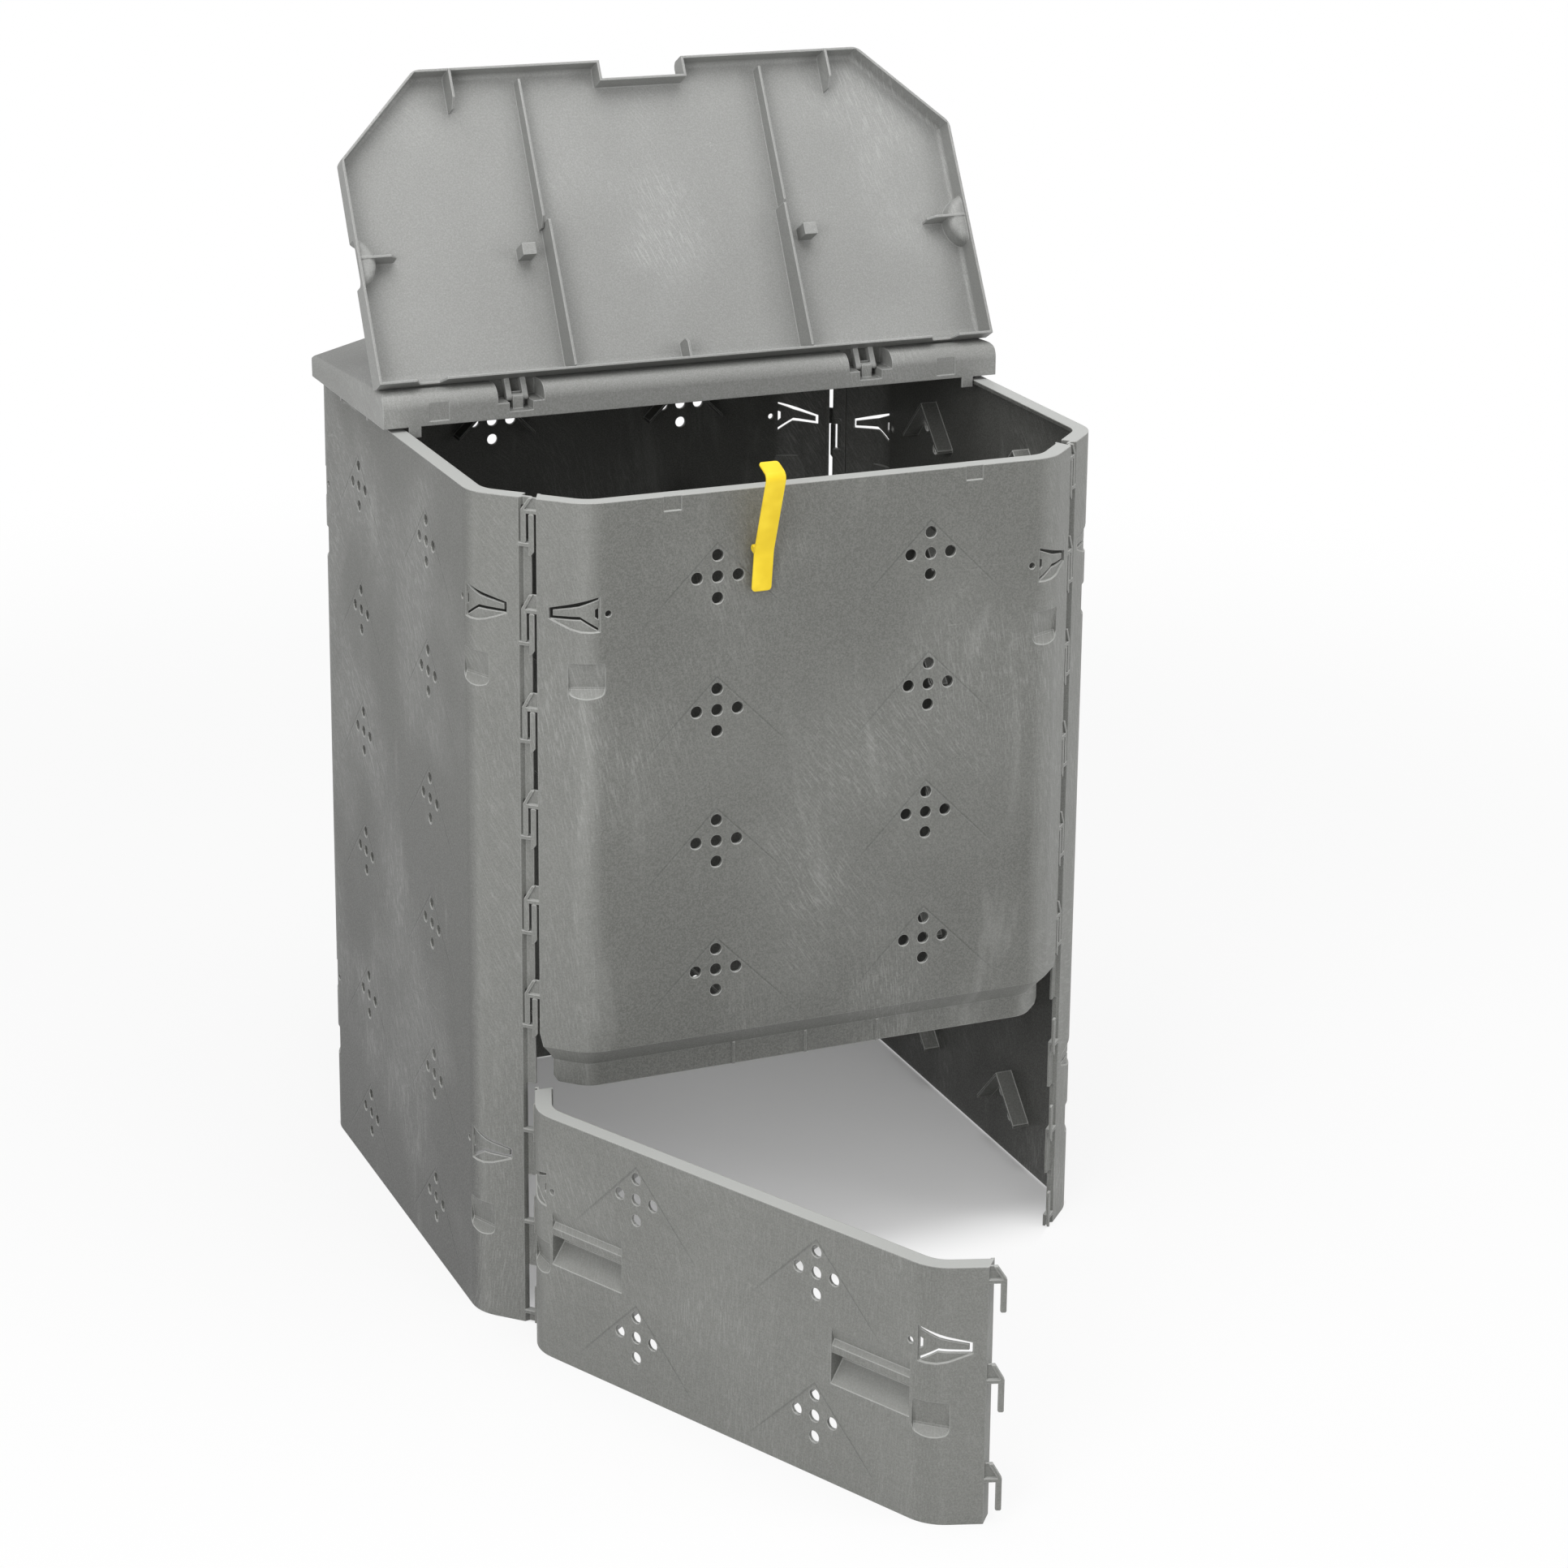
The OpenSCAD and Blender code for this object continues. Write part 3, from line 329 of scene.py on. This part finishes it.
def makePlastic(name, spec):
    material = bpy.data.materials.new(name)
    material.use_nodes = True
    tree = material.node_tree
    shader = tree.nodes["Principled BSDF"]
    coordinates = tree.nodes.new("ShaderNodeTexCoord")
    place = coordinates.outputs["Object"]
    form = useGroup(tree, formGroup, normal=coordinates.outputs["Normal"], vector=place)
    edges = useGroup(tree, edgeGroup, radius=spec["edgeRadius"])
    brushed = useGroup(tree, brushGroup, vector=place, fine=spec["fine"], along=spec["along"],
                       seed=spec["seed"])
    scratches = useGroup(tree, scratchGroup, vector=place)
    # The flap stands open at rest, so its marks are read where they would be with the flap shut.
    shut = stretched(tree, place, spec["shutMove"], (0, 0, spec["shutTurn"]), (1, 1, 1))
    sideways = form.outputs["Side"] if spec["sided"] else 0.0
    sink = useGroup(tree, sinkGroup, vector=shut, sideways=sideways, lowest=spec["lowestRow"])
    outer = mathNode(tree, "SUBTRACT", 1.0, form.outputs["Inside"], True)
    sunk = mathNode(tree, "MULTIPLY", sink.outputs["Mask"], outer)
    sunk = mathNode(tree, "MULTIPLY", sunk, spec["sink"])
    cloud = noise(tree, place, *grain["cloud"])
    speck = noise(tree, place, *grain["speck"])
    dust = noise(tree, place, *grain["dust"])

    def paler(colour, mask, amount):
        return mixColour(tree, mathNode(tree, "MULTIPLY", mask, amount, True), colour, spec["pale"])

    colour = mixColour(tree, ramp(tree, cloud, *grain["cloudBand"]), spec["dark"], spec["light"])
    # Painted shade: darker towards the bottom, and the side faces darker still, most of all low down.
    height = tree.nodes.new("ShaderNodeSeparateXYZ")
    tree.links.new(place, height.inputs[0])
    lowShade = ramp(tree, height.outputs[2], 0.0, grain["shadeTop"], spec["lowShade"], 1.0)
    colour = mixColour(tree, 1.0, colour, lowShade, "MULTIPLY")
    sideShade = ramp(tree, height.outputs[2], 0.0, grain["sideShadeTop"], spec["sideShade"],
                     spec["sideTop"])
    shaded = mixColour(tree, 1.0, colour, sideShade, "MULTIPLY")
    colour = mixColour(tree, form.outputs["Side"], colour, shaded)
    # Painted highlights: bends and slopes are painted paler where they catch the light.
    colour = paler(colour, form.outputs["Bend"], spec["bendPaintedSheen"])
    colour = paler(colour, form.outputs["Slope"], spec["slopePaintedLight"])
    # Painted top faces: a painted highlight on the walls' and flap's tops, painted shade on the cover's
    # top under the lid.
    topPaintedMask = mathNode(tree, "MULTIPLY", form.outputs["Up"], spec["topPaintedShare"])
    colour = mixColour(tree, topPaintedMask, colour, spec["rim"])
    # Painted shade: faces towards the inside of the bin are darker.
    insideShadeMask = mathNode(tree, "MULTIPLY", form.outputs["Inside"], spec["insidePaintedShade"])
    colour = mixColour(tree, insideShadeMask, colour, spec["paintedShadeColour"])
    # Pale upright wisps, where something has rubbed past.
    upright = stretched(tree, place, (0, 0, 0), (0, 0, 0), grain["wispStretch"])
    rubbed = noise(tree, upright, *grain["wisp"])
    colour = paler(colour, ramp(tree, rubbed, grain["wispFrom"], grain["wispTo"]), spec["wispGlow"])
    colour = paler(colour, ramp(tree, speck, *grain["speckBand"]), spec["speck"])
    colour = paler(colour, ramp(tree, dust, *grain["dustBand"]), spec["speck"] * grain["dustShare"])
    # Painted highlight: a broken sheen along each bend, broken up by short marks across it.
    crossed = stretched(tree, place, (0, 0, 0), (0, 0, 0), grain["markStretch"])
    marks = ramp(tree, noise(tree, crossed, *grain["mark"]), *grain["markBand"], grain["markLow"], 1.0)
    colour = paler(colour, mathNode(tree, "MULTIPLY", form.outputs["Curve"], marks), spec["curvePaintedSheen"])
    # Brushed strokes are a real relief in the bump, and painted paler as a sheen: a painted highlight
    # strongest on the bends and inside the soft patches, which get a broad painted sheen of their own.
    where = mathNode(tree, "ADD", mathNode(tree, "MULTIPLY", form.outputs["Bend"], spec["bendStrokes"]),
                     mathNode(tree, "MULTIPLY", brushed.outputs["Patch"], spec["patchStrokes"]))
    strokes = mathNode(tree, "MULTIPLY", brushed.outputs["Strokes"], where)
    colour = paler(colour, strokes, spec["strokePaintedSheen"])
    colour = paler(colour, brushed.outputs["Patch"], spec["patchPaintedSheen"])
    colour = paler(colour, scratches.outputs["Mask"], spec["scratch"])
    # Painted shade along the sink marks, which the bump also sinks.
    sinkMask = mathNode(tree, "MULTIPLY", sunk, grain["sinkShade"])
    colour = mixColour(tree, sinkMask, colour, spec["paintedShadeColour"])
    # Painted highlights on rounded edges and on lips that look up.
    colour = paler(colour, edges.outputs["Mask"], spec["edgeHighlight"])
    colour = paler(colour, edges.outputs["Lip"], spec["lipHighlight"])
    tree.links.new(colour, shader.inputs["Base Color"])
    smooth = spec["roughness"]
    uneven = ramp(tree, cloud, *grain["roughBand"], smooth, smooth + grain["roughSpread"])
    rough = mathNode(tree, "ADD", uneven,
                     mathNode(tree, "MULTIPLY", brushed.outputs["Patch"], grain["patchPolish"]))
    tree.links.new(rough, shader.inputs["Roughness"])
    relief = mathNode(tree, "ADD", mathNode(tree, "MULTIPLY", strokes, grain["strokeDepth"]),
                      mathNode(tree, "MULTIPLY", speck, grain["speckDepth"]))
    relief = mathNode(tree, "SUBTRACT", relief, mathNode(tree, "MULTIPLY", sunk, grain["sinkDepth"]))
    bump = tree.nodes.new("ShaderNodeBump")
    bump.inputs["Strength"].default_value = spec["bump"]
    bump.inputs["Distance"].default_value = grain["bumpDistance"]
    tree.links.new(relief, bump.inputs["Height"])
    tree.links.new(edges.outputs["Normal"], bump.inputs["Normal"])
    tree.links.new(bump.outputs[0], shader.inputs["Normal"])
    shader.inputs["Specular IOR Level"].default_value = spec["specular"]
    return material


wallLook = {
    "dark": (0.105, 0.107, 0.0975), "light": (0.128, 0.1305, 0.1195), "pale": (0.52, 0.525, 0.505),
    "rim": (0.6, 0.61, 0.595), "paintedShadeColour": (0.05, 0.05, 0.045), "insidePaintedShade": 0.6,
    "lowShade": 0.86, "sideShade": 0.38, "sideTop": 0.8, "bendPaintedSheen": 0.13, "slopePaintedLight": 0.1,
    "lipHighlight": 0.85, "curvePaintedSheen": 0.07, "topPaintedShare": 0.6,
    "sink": 0.42, "lowestRow": 0.078, "sided": True, "shutMove": (0.0, 0.0, 0.0), "shutTurn": 0.0,
    "wispGlow": 0.13, "speck": 0.13, "bendStrokes": 0.55, "patchStrokes": 0.9,
    "strokePaintedSheen": 0.2, "patchPaintedSheen": 0.035, "scratch": 0.22, "edgeHighlight": 0.42, "roughness": 0.46,
    "bump": 0.6, "specular": 0.4, "edgeRadius": 0.002, "fine": 620.0, "along": 62.0, "seed": 0.0,
}
lidLook = {
    **wallLook, "dark": (0.222, 0.224, 0.215), "light": (0.257, 0.2595, 0.25),
    "pale": (0.64, 0.645, 0.635),
    "lowShade": 1.0, "sideShade": 1.0, "sideTop": 1.0, "bendPaintedSheen": 0.0, "curvePaintedSheen": 0.0,
    "topPaintedShare": 0.0, "slopePaintedLight": 0.0, "lipHighlight": 0.0, "insidePaintedShade": 0.0, "sink": 0.0, "wispGlow": 0.0,
    "strokePaintedSheen": 0.26, "patchPaintedSheen": 0.08, "seed": 3.7,
}
# The cover: the lid's plastic painted a little darker as painted shade, with painted shade on its top
# faces.
coverLook = {
    **lidLook, "dark": (0.19, 0.192, 0.182), "light": (0.22, 0.2225, 0.2115),
    "rim": (0.06, 0.061, 0.056), "topPaintedShare": 0.4, "curvePaintedSheen": 0.1,
    "strokePaintedSheen": 0.16, "patchPaintedSheen": 0.04, "seed": 5.1,
}
# The flap shuts with this turn about its corner, so a point p goes to corner + turn of (p - corner).
flapShut = 64.25
flapCorner = Vector((-0.3342, -0.728, 0.0))
shutMove = flapCorner - Matrix.Rotation(math.radians(flapShut), 3, "Z") @ flapCorner
flapLook = {
    **wallLook, "dark": (0.108, 0.11, 0.1), "light": (0.131, 0.1335, 0.1225), "lowShade": 1.0,
    "sideShade": 1.0, "sideTop": 1.0, "insidePaintedShade": 0.0, "slopePaintedLight": 0.2, "lipHighlight": 0.7,
    "sink": 0.5, "lowestRow": 0.071, "sided": False, "shutTurn": flapShut, "shutMove": shutMove,
    "wispGlow": 0.06, "bendPaintedSheen": 0.05, "patchStrokes": 0.7, "strokePaintedSheen": 0.14, "seed": 8.3,
}

wallPlastic = makePlastic("wallPlastic", wallLook)
flapPlastic = makePlastic("flapPlastic", flapLook)
lidPlastic = makePlastic("lidPlastic", lidLook)
coverPlastic = makePlastic("coverPlastic", coverLook)


def makeStrapRubber():
    spec = {"deep": (0.8, 0.57, 0.022), "bright": (0.92, 0.69, 0.04), "highlightTint": (1.0, 0.92, 0.6),
            "highlightShare": 0.3, "glow": 0.05, "edgeRadius": 0.0012, "grain": (900.0, 3.0),
            "cloud": (30.0, 2.0), "roughFrom": 0.42, "roughTo": 0.52, "specular": 0.25,
            "bump": 0.35, "bumpDistance": 0.0002}
    material = bpy.data.materials.new("strapRubber")
    material.use_nodes = True
    tree = material.node_tree
    shader = tree.nodes["Principled BSDF"]
    place = tree.nodes.new("ShaderNodeTexCoord").outputs["Object"]
    edges = useGroup(tree, edgeGroup, radius=spec["edgeRadius"])
    fineGrain = noise(tree, place, *spec["grain"])
    cloud = noise(tree, place, *spec["cloud"])
    colour = mixColour(tree, ramp(tree, cloud, 0.3, 0.7), spec["deep"], spec["bright"])
    # Painted highlight: the band's edges are painted paler.
    strapEdgeHighlight = mathNode(tree, "MULTIPLY", edges.outputs["Mask"], spec["highlightShare"], True)
    colour = mixColour(tree, strapEdgeHighlight, colour, spec["highlightTint"])
    tree.links.new(colour, shader.inputs["Base Color"])
    # Painted light: the band glows faintly in its own colour.
    tree.links.new(colour, shader.inputs["Emission Color"])
    shader.inputs["Emission Strength"].default_value = spec["glow"]
    shader.inputs["Specular IOR Level"].default_value = spec["specular"]
    rough = ramp(tree, fineGrain, 0.3, 0.7, spec["roughFrom"], spec["roughTo"])
    tree.links.new(rough, shader.inputs["Roughness"])
    bump = tree.nodes.new("ShaderNodeBump")
    bump.inputs["Strength"].default_value = spec["bump"]
    bump.inputs["Distance"].default_value = spec["bumpDistance"]
    tree.links.new(fineGrain, bump.inputs["Height"])
    tree.links.new(edges.outputs["Normal"], bump.inputs["Normal"])
    tree.links.new(bump.outputs[0], shader.inputs["Normal"])
    return material


strapRubber = makeStrapRubber()

finishes = {
    "left_wall": wallPlastic, "right_wall": wallPlastic, "rear_wall": wallPlastic,
    "front_wall": wallPlastic, "flap": flapPlastic, "rear_cover": coverPlastic, "lid": lidPlastic,
    "lid_strap": strapRubber,
}
for name, finish in finishes.items():
    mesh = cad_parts[name].data
    if not mesh.materials:
        mesh.materials.append(finish)
    for index in range(len(mesh.materials)):
        mesh.materials[index] = finish
print("materials placed on", len(finishes), "nodes")


def roundedSection(half, thick, radius, steps):
    # Outline of a flat band with round edges. Each point is the centre of its corner's round, plus
    # the radius times (cos, sin) of a turn that goes once round in four quarters.
    turns = np.linspace(0, math.pi / 2, steps)
    ring = np.concatenate([turns + quarter * math.pi / 2 for quarter in range(4)])
    signs = np.repeat([(1, 1), (-1, 1), (-1, -1), (1, -1)], steps, axis=0)
    across = signs[:, 0] * (half - radius) + radius * np.cos(ring)
    deep = signs[:, 1] * (thick - radius) + radius * np.sin(ring)
    return across, deep


def strapPath(spec):
    # Side view of the band: each point is the one before plus a step along (cos, sin) of the heading.
    # The heading starts inwards over the rim, turns down round the hook's bend, and turns out a little
    # at the pin.
    step = spec["step"]
    bend = spec["bend"] - spec["thick"] / 2
    drop = spec["over"] - spec["bend"] + spec["thick"]
    lengths = (spec["reach"], bend * math.pi / 2, drop, spec["tail"])
    count = int(round(sum(lengths) / step))
    along = (np.arange(count) + 0.5) * step
    bounds = np.cumsum(lengths)
    heading = np.interp(along, [0, bounds[0], bounds[1], bounds[2], bounds[2] + 1e-6, bounds[3]],
                        [180, 180, 270, 270, 270 - spec["turn"], 270 - spec["turn"]])
    # Averaging the heading over a short length rounds each change of direction.
    spread = int(spec["soften"] / step)
    padded = np.pad(heading, spread, mode="edge")
    heading = np.radians(np.convolve(padded, np.ones(2 * spread + 1) / (2 * spread + 1), mode="valid"))
    start = (spec["reach"] - spec["back"] - spec["thick"] + spec["bend"],
             spec["over"] + spec["thick"] / 2)
    moves = np.column_stack((np.cos(heading), np.sin(heading))) * step
    return np.vstack((start, start + np.cumsum(moves, axis=0))), np.append(heading, heading[-1])


def ringFaces(rings, size, offset):
    # Quads between neighbouring rings, and one flat cap at each end.
    first = np.arange(rings - 1)[:, None] * size + np.arange(size)[None, :]
    after = np.arange(rings - 1)[:, None] * size + (np.arange(size)[None, :] + 1) % size
    quads = np.stack((first, after, after + size, first + size), axis=-1).reshape(-1, 4) + offset
    caps = [list(range(offset + size - 1, offset - 1, -1)),
            list(range(offset + (rings - 1) * size, offset + rings * size))]
    return quads.tolist() + caps


def makeStrap(finish):
    # Band: the round-edged section carried along the path, so each point is the path's point plus the
    # section's width across and its thickness along the path's normal, both less towards the ends.
    spec = {"width": 0.0238, "thick": 0.0032, "edge": 0.0011, "axis": (-0.081, -0.7822, 0.932),
            "lean": 20.0, "back": 0.0046, "over": 0.0992, "bend": 0.008, "reach": 0.0205, "tail": 0.049,
            "turn": 12.0, "soften": 0.004, "step": 0.0005, "corner": 0.005, "cheek": 0.0066,
            "cheekFrom": 0.0051, "cheekRadius": 0.0042, "cheekEdge": 0.0006, "sink": 0.0012,
            "pin": 0.0022, "pinHalf": 0.0112, "pinSides": 32, "edgeSteps": 6, "noseSteps": 24,
            "thinnest": 0.93}
    path, heading = strapPath(spec)
    along = np.arange(len(path)) * spec["step"]
    # Both ends have rounded corners and thin out to a round lip.
    toEnd = np.minimum(along, along[-1] - along)
    inset = np.clip(spec["corner"] - toEnd, 0, None)
    half = spec["width"] / 2 - spec["corner"] + np.sqrt(spec["corner"] ** 2 - inset ** 2 + 1e-9)
    lip = np.clip(1 - toEnd / (spec["thick"] / 2), 0, spec["thinnest"])
    thin = np.sqrt(1 - lip ** 2)
    ringAcross, ringDeep = roundedSection(spec["width"] / 2, spec["thick"] / 2, spec["edge"],
                                          spec["edgeSteps"])
    squeeze = ringAcross[None, :] * (half / (spec["width"] / 2))[:, None]
    swell = ringDeep[None, :] * thin[:, None]
    normalY, normalZ = -np.sin(heading), np.cos(heading)
    band = np.stack((squeeze, path[:, 0:1] + swell * normalY[:, None],
                     path[:, 1:2] + swell * normalZ[:, None]), -1)
    size = len(ringAcross)
    points, faces = [band.reshape(-1, 3)], ringFaces(len(path), size, 0)
    total = len(path) * size

    # Cheeks: a nose of radius times (cos, sin) about the pin with a straight root into the band,
    # carried along X and a little smaller at both faces. The pin is a plain round rod between them.
    angles = np.linspace(-math.pi / 2, math.pi / 2, spec["noseSteps"])
    nose = np.column_stack((np.cos(angles), np.sin(angles))) * spec["cheekRadius"]
    inBand = -spec["back"] - spec["sink"]
    root = np.array(((inBand, spec["cheekRadius"]), (inBand, -spec["cheekRadius"])))
    outline = np.vstack((nose, root))
    ease = spec["cheekEdge"]
    small = 1 - ease / spec["cheekRadius"]
    for side in (-1, 1):
        near, far = spec["cheekFrom"], spec["cheekFrom"] + spec["cheek"]
        rings = []
        for x, scale in ((near, small), (near + ease, 1), (far - ease, 1), (far, small)):
            rings.append(np.column_stack((np.full(len(outline), side * x), outline * scale)))
        points.append(np.vstack(rings))
        faces += ringFaces(4, len(outline), total)
        total += 4 * len(outline)
    sides = spec["pinSides"]
    turns = np.linspace(0, 2 * math.pi, sides, endpoint=False)
    pinRing = np.column_stack((np.cos(turns), np.sin(turns))) * spec["pin"]
    for x in (-spec["pinHalf"], spec["pinHalf"]):
        points.append(np.column_stack((np.full(sides, x), pinRing)))
    faces += ringFaces(2, sides, total)

    # Lean the whole piece out about the pin and set it on the pin's axis.
    local = np.vstack(points)
    lean = math.radians(spec["lean"])
    leant = np.column_stack((local[:, 0],
                             local[:, 1] * math.cos(lean) - local[:, 2] * math.sin(lean),
                             local[:, 1] * math.sin(lean) + local[:, 2] * math.cos(lean)))
    turned = leant + spec["axis"]
    mesh = bpy.data.meshes.new("strapBand")
    mesh.from_pydata(turned.tolist(), [], faces)
    mesh.validate()
    corners = np.zeros(len(mesh.polygons), dtype=np.int32)
    mesh.polygons.foreach_get("loop_total", corners)
    mesh.polygons.foreach_set("use_smooth", (corners == 4).tolist())  # the caps stay flat
    mesh.materials.append(finish)
    strap = bpy.data.objects.new("strapBand", mesh)
    bpy.context.scene.collection.objects.link(strap)
    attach(strap, "strap")
    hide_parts("lid_strap")
    print("strap built:", len(mesh.polygons), "faces")


makeStrap(strapRubber)


def seenDirectly(tree):
    # 1 for camera, glossy and transmission rays, so that mirrors and glass would show white too.
    path = tree.nodes.new("ShaderNodeLightPath")
    bounced = mathNode(tree, "MAXIMUM", path.outputs["Is Glossy Ray"],
                       path.outputs["Is Transmission Ray"])
    return mathNode(tree, "MAXIMUM", path.outputs["Is Camera Ray"], bounced)


def standAt(right, up, back, place):
    # Matrix with the three axes and the place as its columns.
    columns = np.column_stack((right, up, back, place))
    return Matrix(np.vstack((columns, (0, 0, 0, 1))).tolist())


def makeFloor():
    # A white disc, radius times (cos, sin) of each angle, that shows as plain white from a distance.
    spec = {"radius": 14.0, "sides": 96, "white": (0.86, 0.86, 0.86), "fadeFrom": 1.2, "fadeTo": 3.2,
            "shade": 0.1, "nearGlow": 0.85, "inWall": 0.38, "outWall": 0.39,
            "frontFrom": 0.25, "cornerReach": 0.575}
    angles = np.linspace(0, 2 * math.pi, spec["sides"], endpoint=False)
    points = np.column_stack((np.cos(angles), np.sin(angles), np.zeros_like(angles))) * spec["radius"]
    mesh = bpy.data.meshes.new("floor")
    mesh.from_pydata(points.tolist(), [], [list(range(len(points)))])
    floor = bpy.data.objects.new("floor", mesh)
    bpy.context.scene.collection.objects.link(floor)
    material = bpy.data.materials.new("floorWhite")
    material.use_nodes = True
    tree = material.node_tree
    shader = tree.nodes["Principled BSDF"]
    shader.inputs["Base Color"].default_value = (*spec["white"], 1)
    shader.inputs["Roughness"].default_value = 0.9
    shader.inputs["Specular IOR Level"].default_value = 0.0
    place = tree.nodes.new("ShaderNodeTexCoord").outputs["Object"]
    far = tree.nodes.new("ShaderNodeVectorMath")
    far.operation = "LENGTH"
    tree.links.new(place, far.inputs[0])
    glow = tree.nodes.new("ShaderNodeEmission")
    seen = seenDirectly(tree)
    fade = ramp(tree, far.outputs["Value"], spec["fadeFrom"], spec["fadeTo"], spec["nearGlow"], 1.0)
    # The ground inside the bin isn't lit up, so the holes and the doorway show its shade. Its edge lies
    # under the walls, and fades out softly at the front alone.
    spot = tree.nodes.new("ShaderNodeSeparateXYZ")
    tree.links.new(place, spot.inputs[0])
    wide = mathNode(tree, "ABSOLUTE", spot.outputs[0])
    back = mathNode(tree, "SUBTRACT", spot.outputs[1], binMiddleY)
    front = mathNode(tree, "MULTIPLY", back, -1.0)
    corner = mathNode(tree, "ADD", wide, mathNode(tree, "ABSOLUTE", back))
    corner = mathNode(tree, "MULTIPLY", corner, spec["cornerReach"])
    reach = mathNode(tree, "MAXIMUM", mathNode(tree, "MAXIMUM", wide, back), corner)
    pastWall = ramp(tree, reach, spec["inWall"], spec["outWall"], spec["shade"], 1.0)
    pastFront = ramp(tree, front, spec["frontFrom"], spec["outWall"], spec["shade"], 1.0)
    outside = mathNode(tree, "MAXIMUM", pastWall, pastFront)
    amount = mathNode(tree, "MULTIPLY", mathNode(tree, "MULTIPLY", seen, fade), outside)
    mix = tree.nodes.new("ShaderNodeMixShader")
    tree.links.new(amount, mix.inputs[0])
    tree.links.new(shader.outputs[0], mix.inputs[1])
    tree.links.new(glow.outputs[0], mix.inputs[2])
    tree.links.new(mix.outputs[0], tree.nodes["Material Output"].inputs["Surface"])
    mesh.materials.append(material)


def makeWorld(strength):
    world = bpy.data.worlds.new("studio")
    bpy.context.scene.world = world
    world.use_nodes = True
    tree = world.node_tree
    soft = tree.nodes["Background"]
    soft.inputs["Color"].default_value = (1, 1, 1, 1)
    soft.inputs["Strength"].default_value = strength
    white = tree.nodes.new("ShaderNodeBackground")
    white.inputs["Color"].default_value = (1, 1, 1, 1)
    mix = tree.nodes.new("ShaderNodeMixShader")
    tree.links.new(seenDirectly(tree), mix.inputs[0])
    tree.links.new(soft.outputs[0], mix.inputs[1])
    tree.links.new(white.outputs[0], mix.inputs[2])
    tree.links.new(mix.outputs[0], tree.nodes["World Output"].inputs["Surface"])


def makeLamp(name, spec):
    light = bpy.data.lights.new(name, "AREA")
    light.shape = "RECTANGLE"
    light.size, light.size_y = spec["size"]
    light.energy = spec["power"]
    lamp = bpy.data.objects.new(name, light)
    bpy.context.scene.collection.objects.link(lamp)
    aim = np.array(spec["target"], float) - np.array(spec["place"], float)
    aim /= np.linalg.norm(aim)
    side = np.cross(aim, (0, 0, 1.0))
    side /= np.linalg.norm(side)
    up = np.cross(side, aim)
    lamp.matrix_world = standAt(side, up, -aim, spec["place"])


def makeCamera():
    spec = {"azimuth": -23.37, "elevation": 15.22, "roll": 0.58, "place": (-1.6631, -4.5047, 2.0798),
            "lens": 86.35, "shiftY": -0.177}
    azimuth, elevation, roll = (math.radians(spec[key]) for key in ("azimuth", "elevation", "roll"))
    level = math.cos(elevation)
    back = np.array((math.sin(azimuth) * level, -math.cos(azimuth) * level, math.sin(elevation)))
    right = np.array((math.cos(azimuth), math.sin(azimuth), 0.0))
    up = np.cross(back, right)
    turnedRight = math.cos(roll) * right + math.sin(roll) * up
    turnedUp = -math.sin(roll) * right + math.cos(roll) * up
    data = bpy.data.cameras.new("camera")
    data.sensor_width = 36
    data.lens = spec["lens"]
    data.shift_y = spec["shiftY"]
    camera = bpy.data.objects.new("camera", data)
    bpy.context.scene.collection.objects.link(camera)
    camera.matrix_world = standAt(turnedRight, turnedUp, back, spec["place"])
    bpy.context.scene.camera = camera


makeFloor()
makeWorld(strength=0.42)
lamps = {
    "topSoft": {"place": (-0.4, -1.3, 4.2), "target": (0, -0.5, 0.7), "size": (3.4, 3.0), "power": 95},
    "leftSoft": {"place": (-3.2, -3.5, 2.3), "target": (0, -0.5, 0.6), "size": (2.0, 2.4), "power": 78},
    "rightSoft": {"place": (3.3, -3.3, 2.0), "target": (0, -0.5, 0.6), "size": (1.8, 2.4), "power": 41},
}
for name, lampSpec in lamps.items():
    makeLamp(name, lampSpec)
makeCamera()
bpy.context.scene.view_settings.view_transform = "Standard"
print("floor, lamps and camera ready")
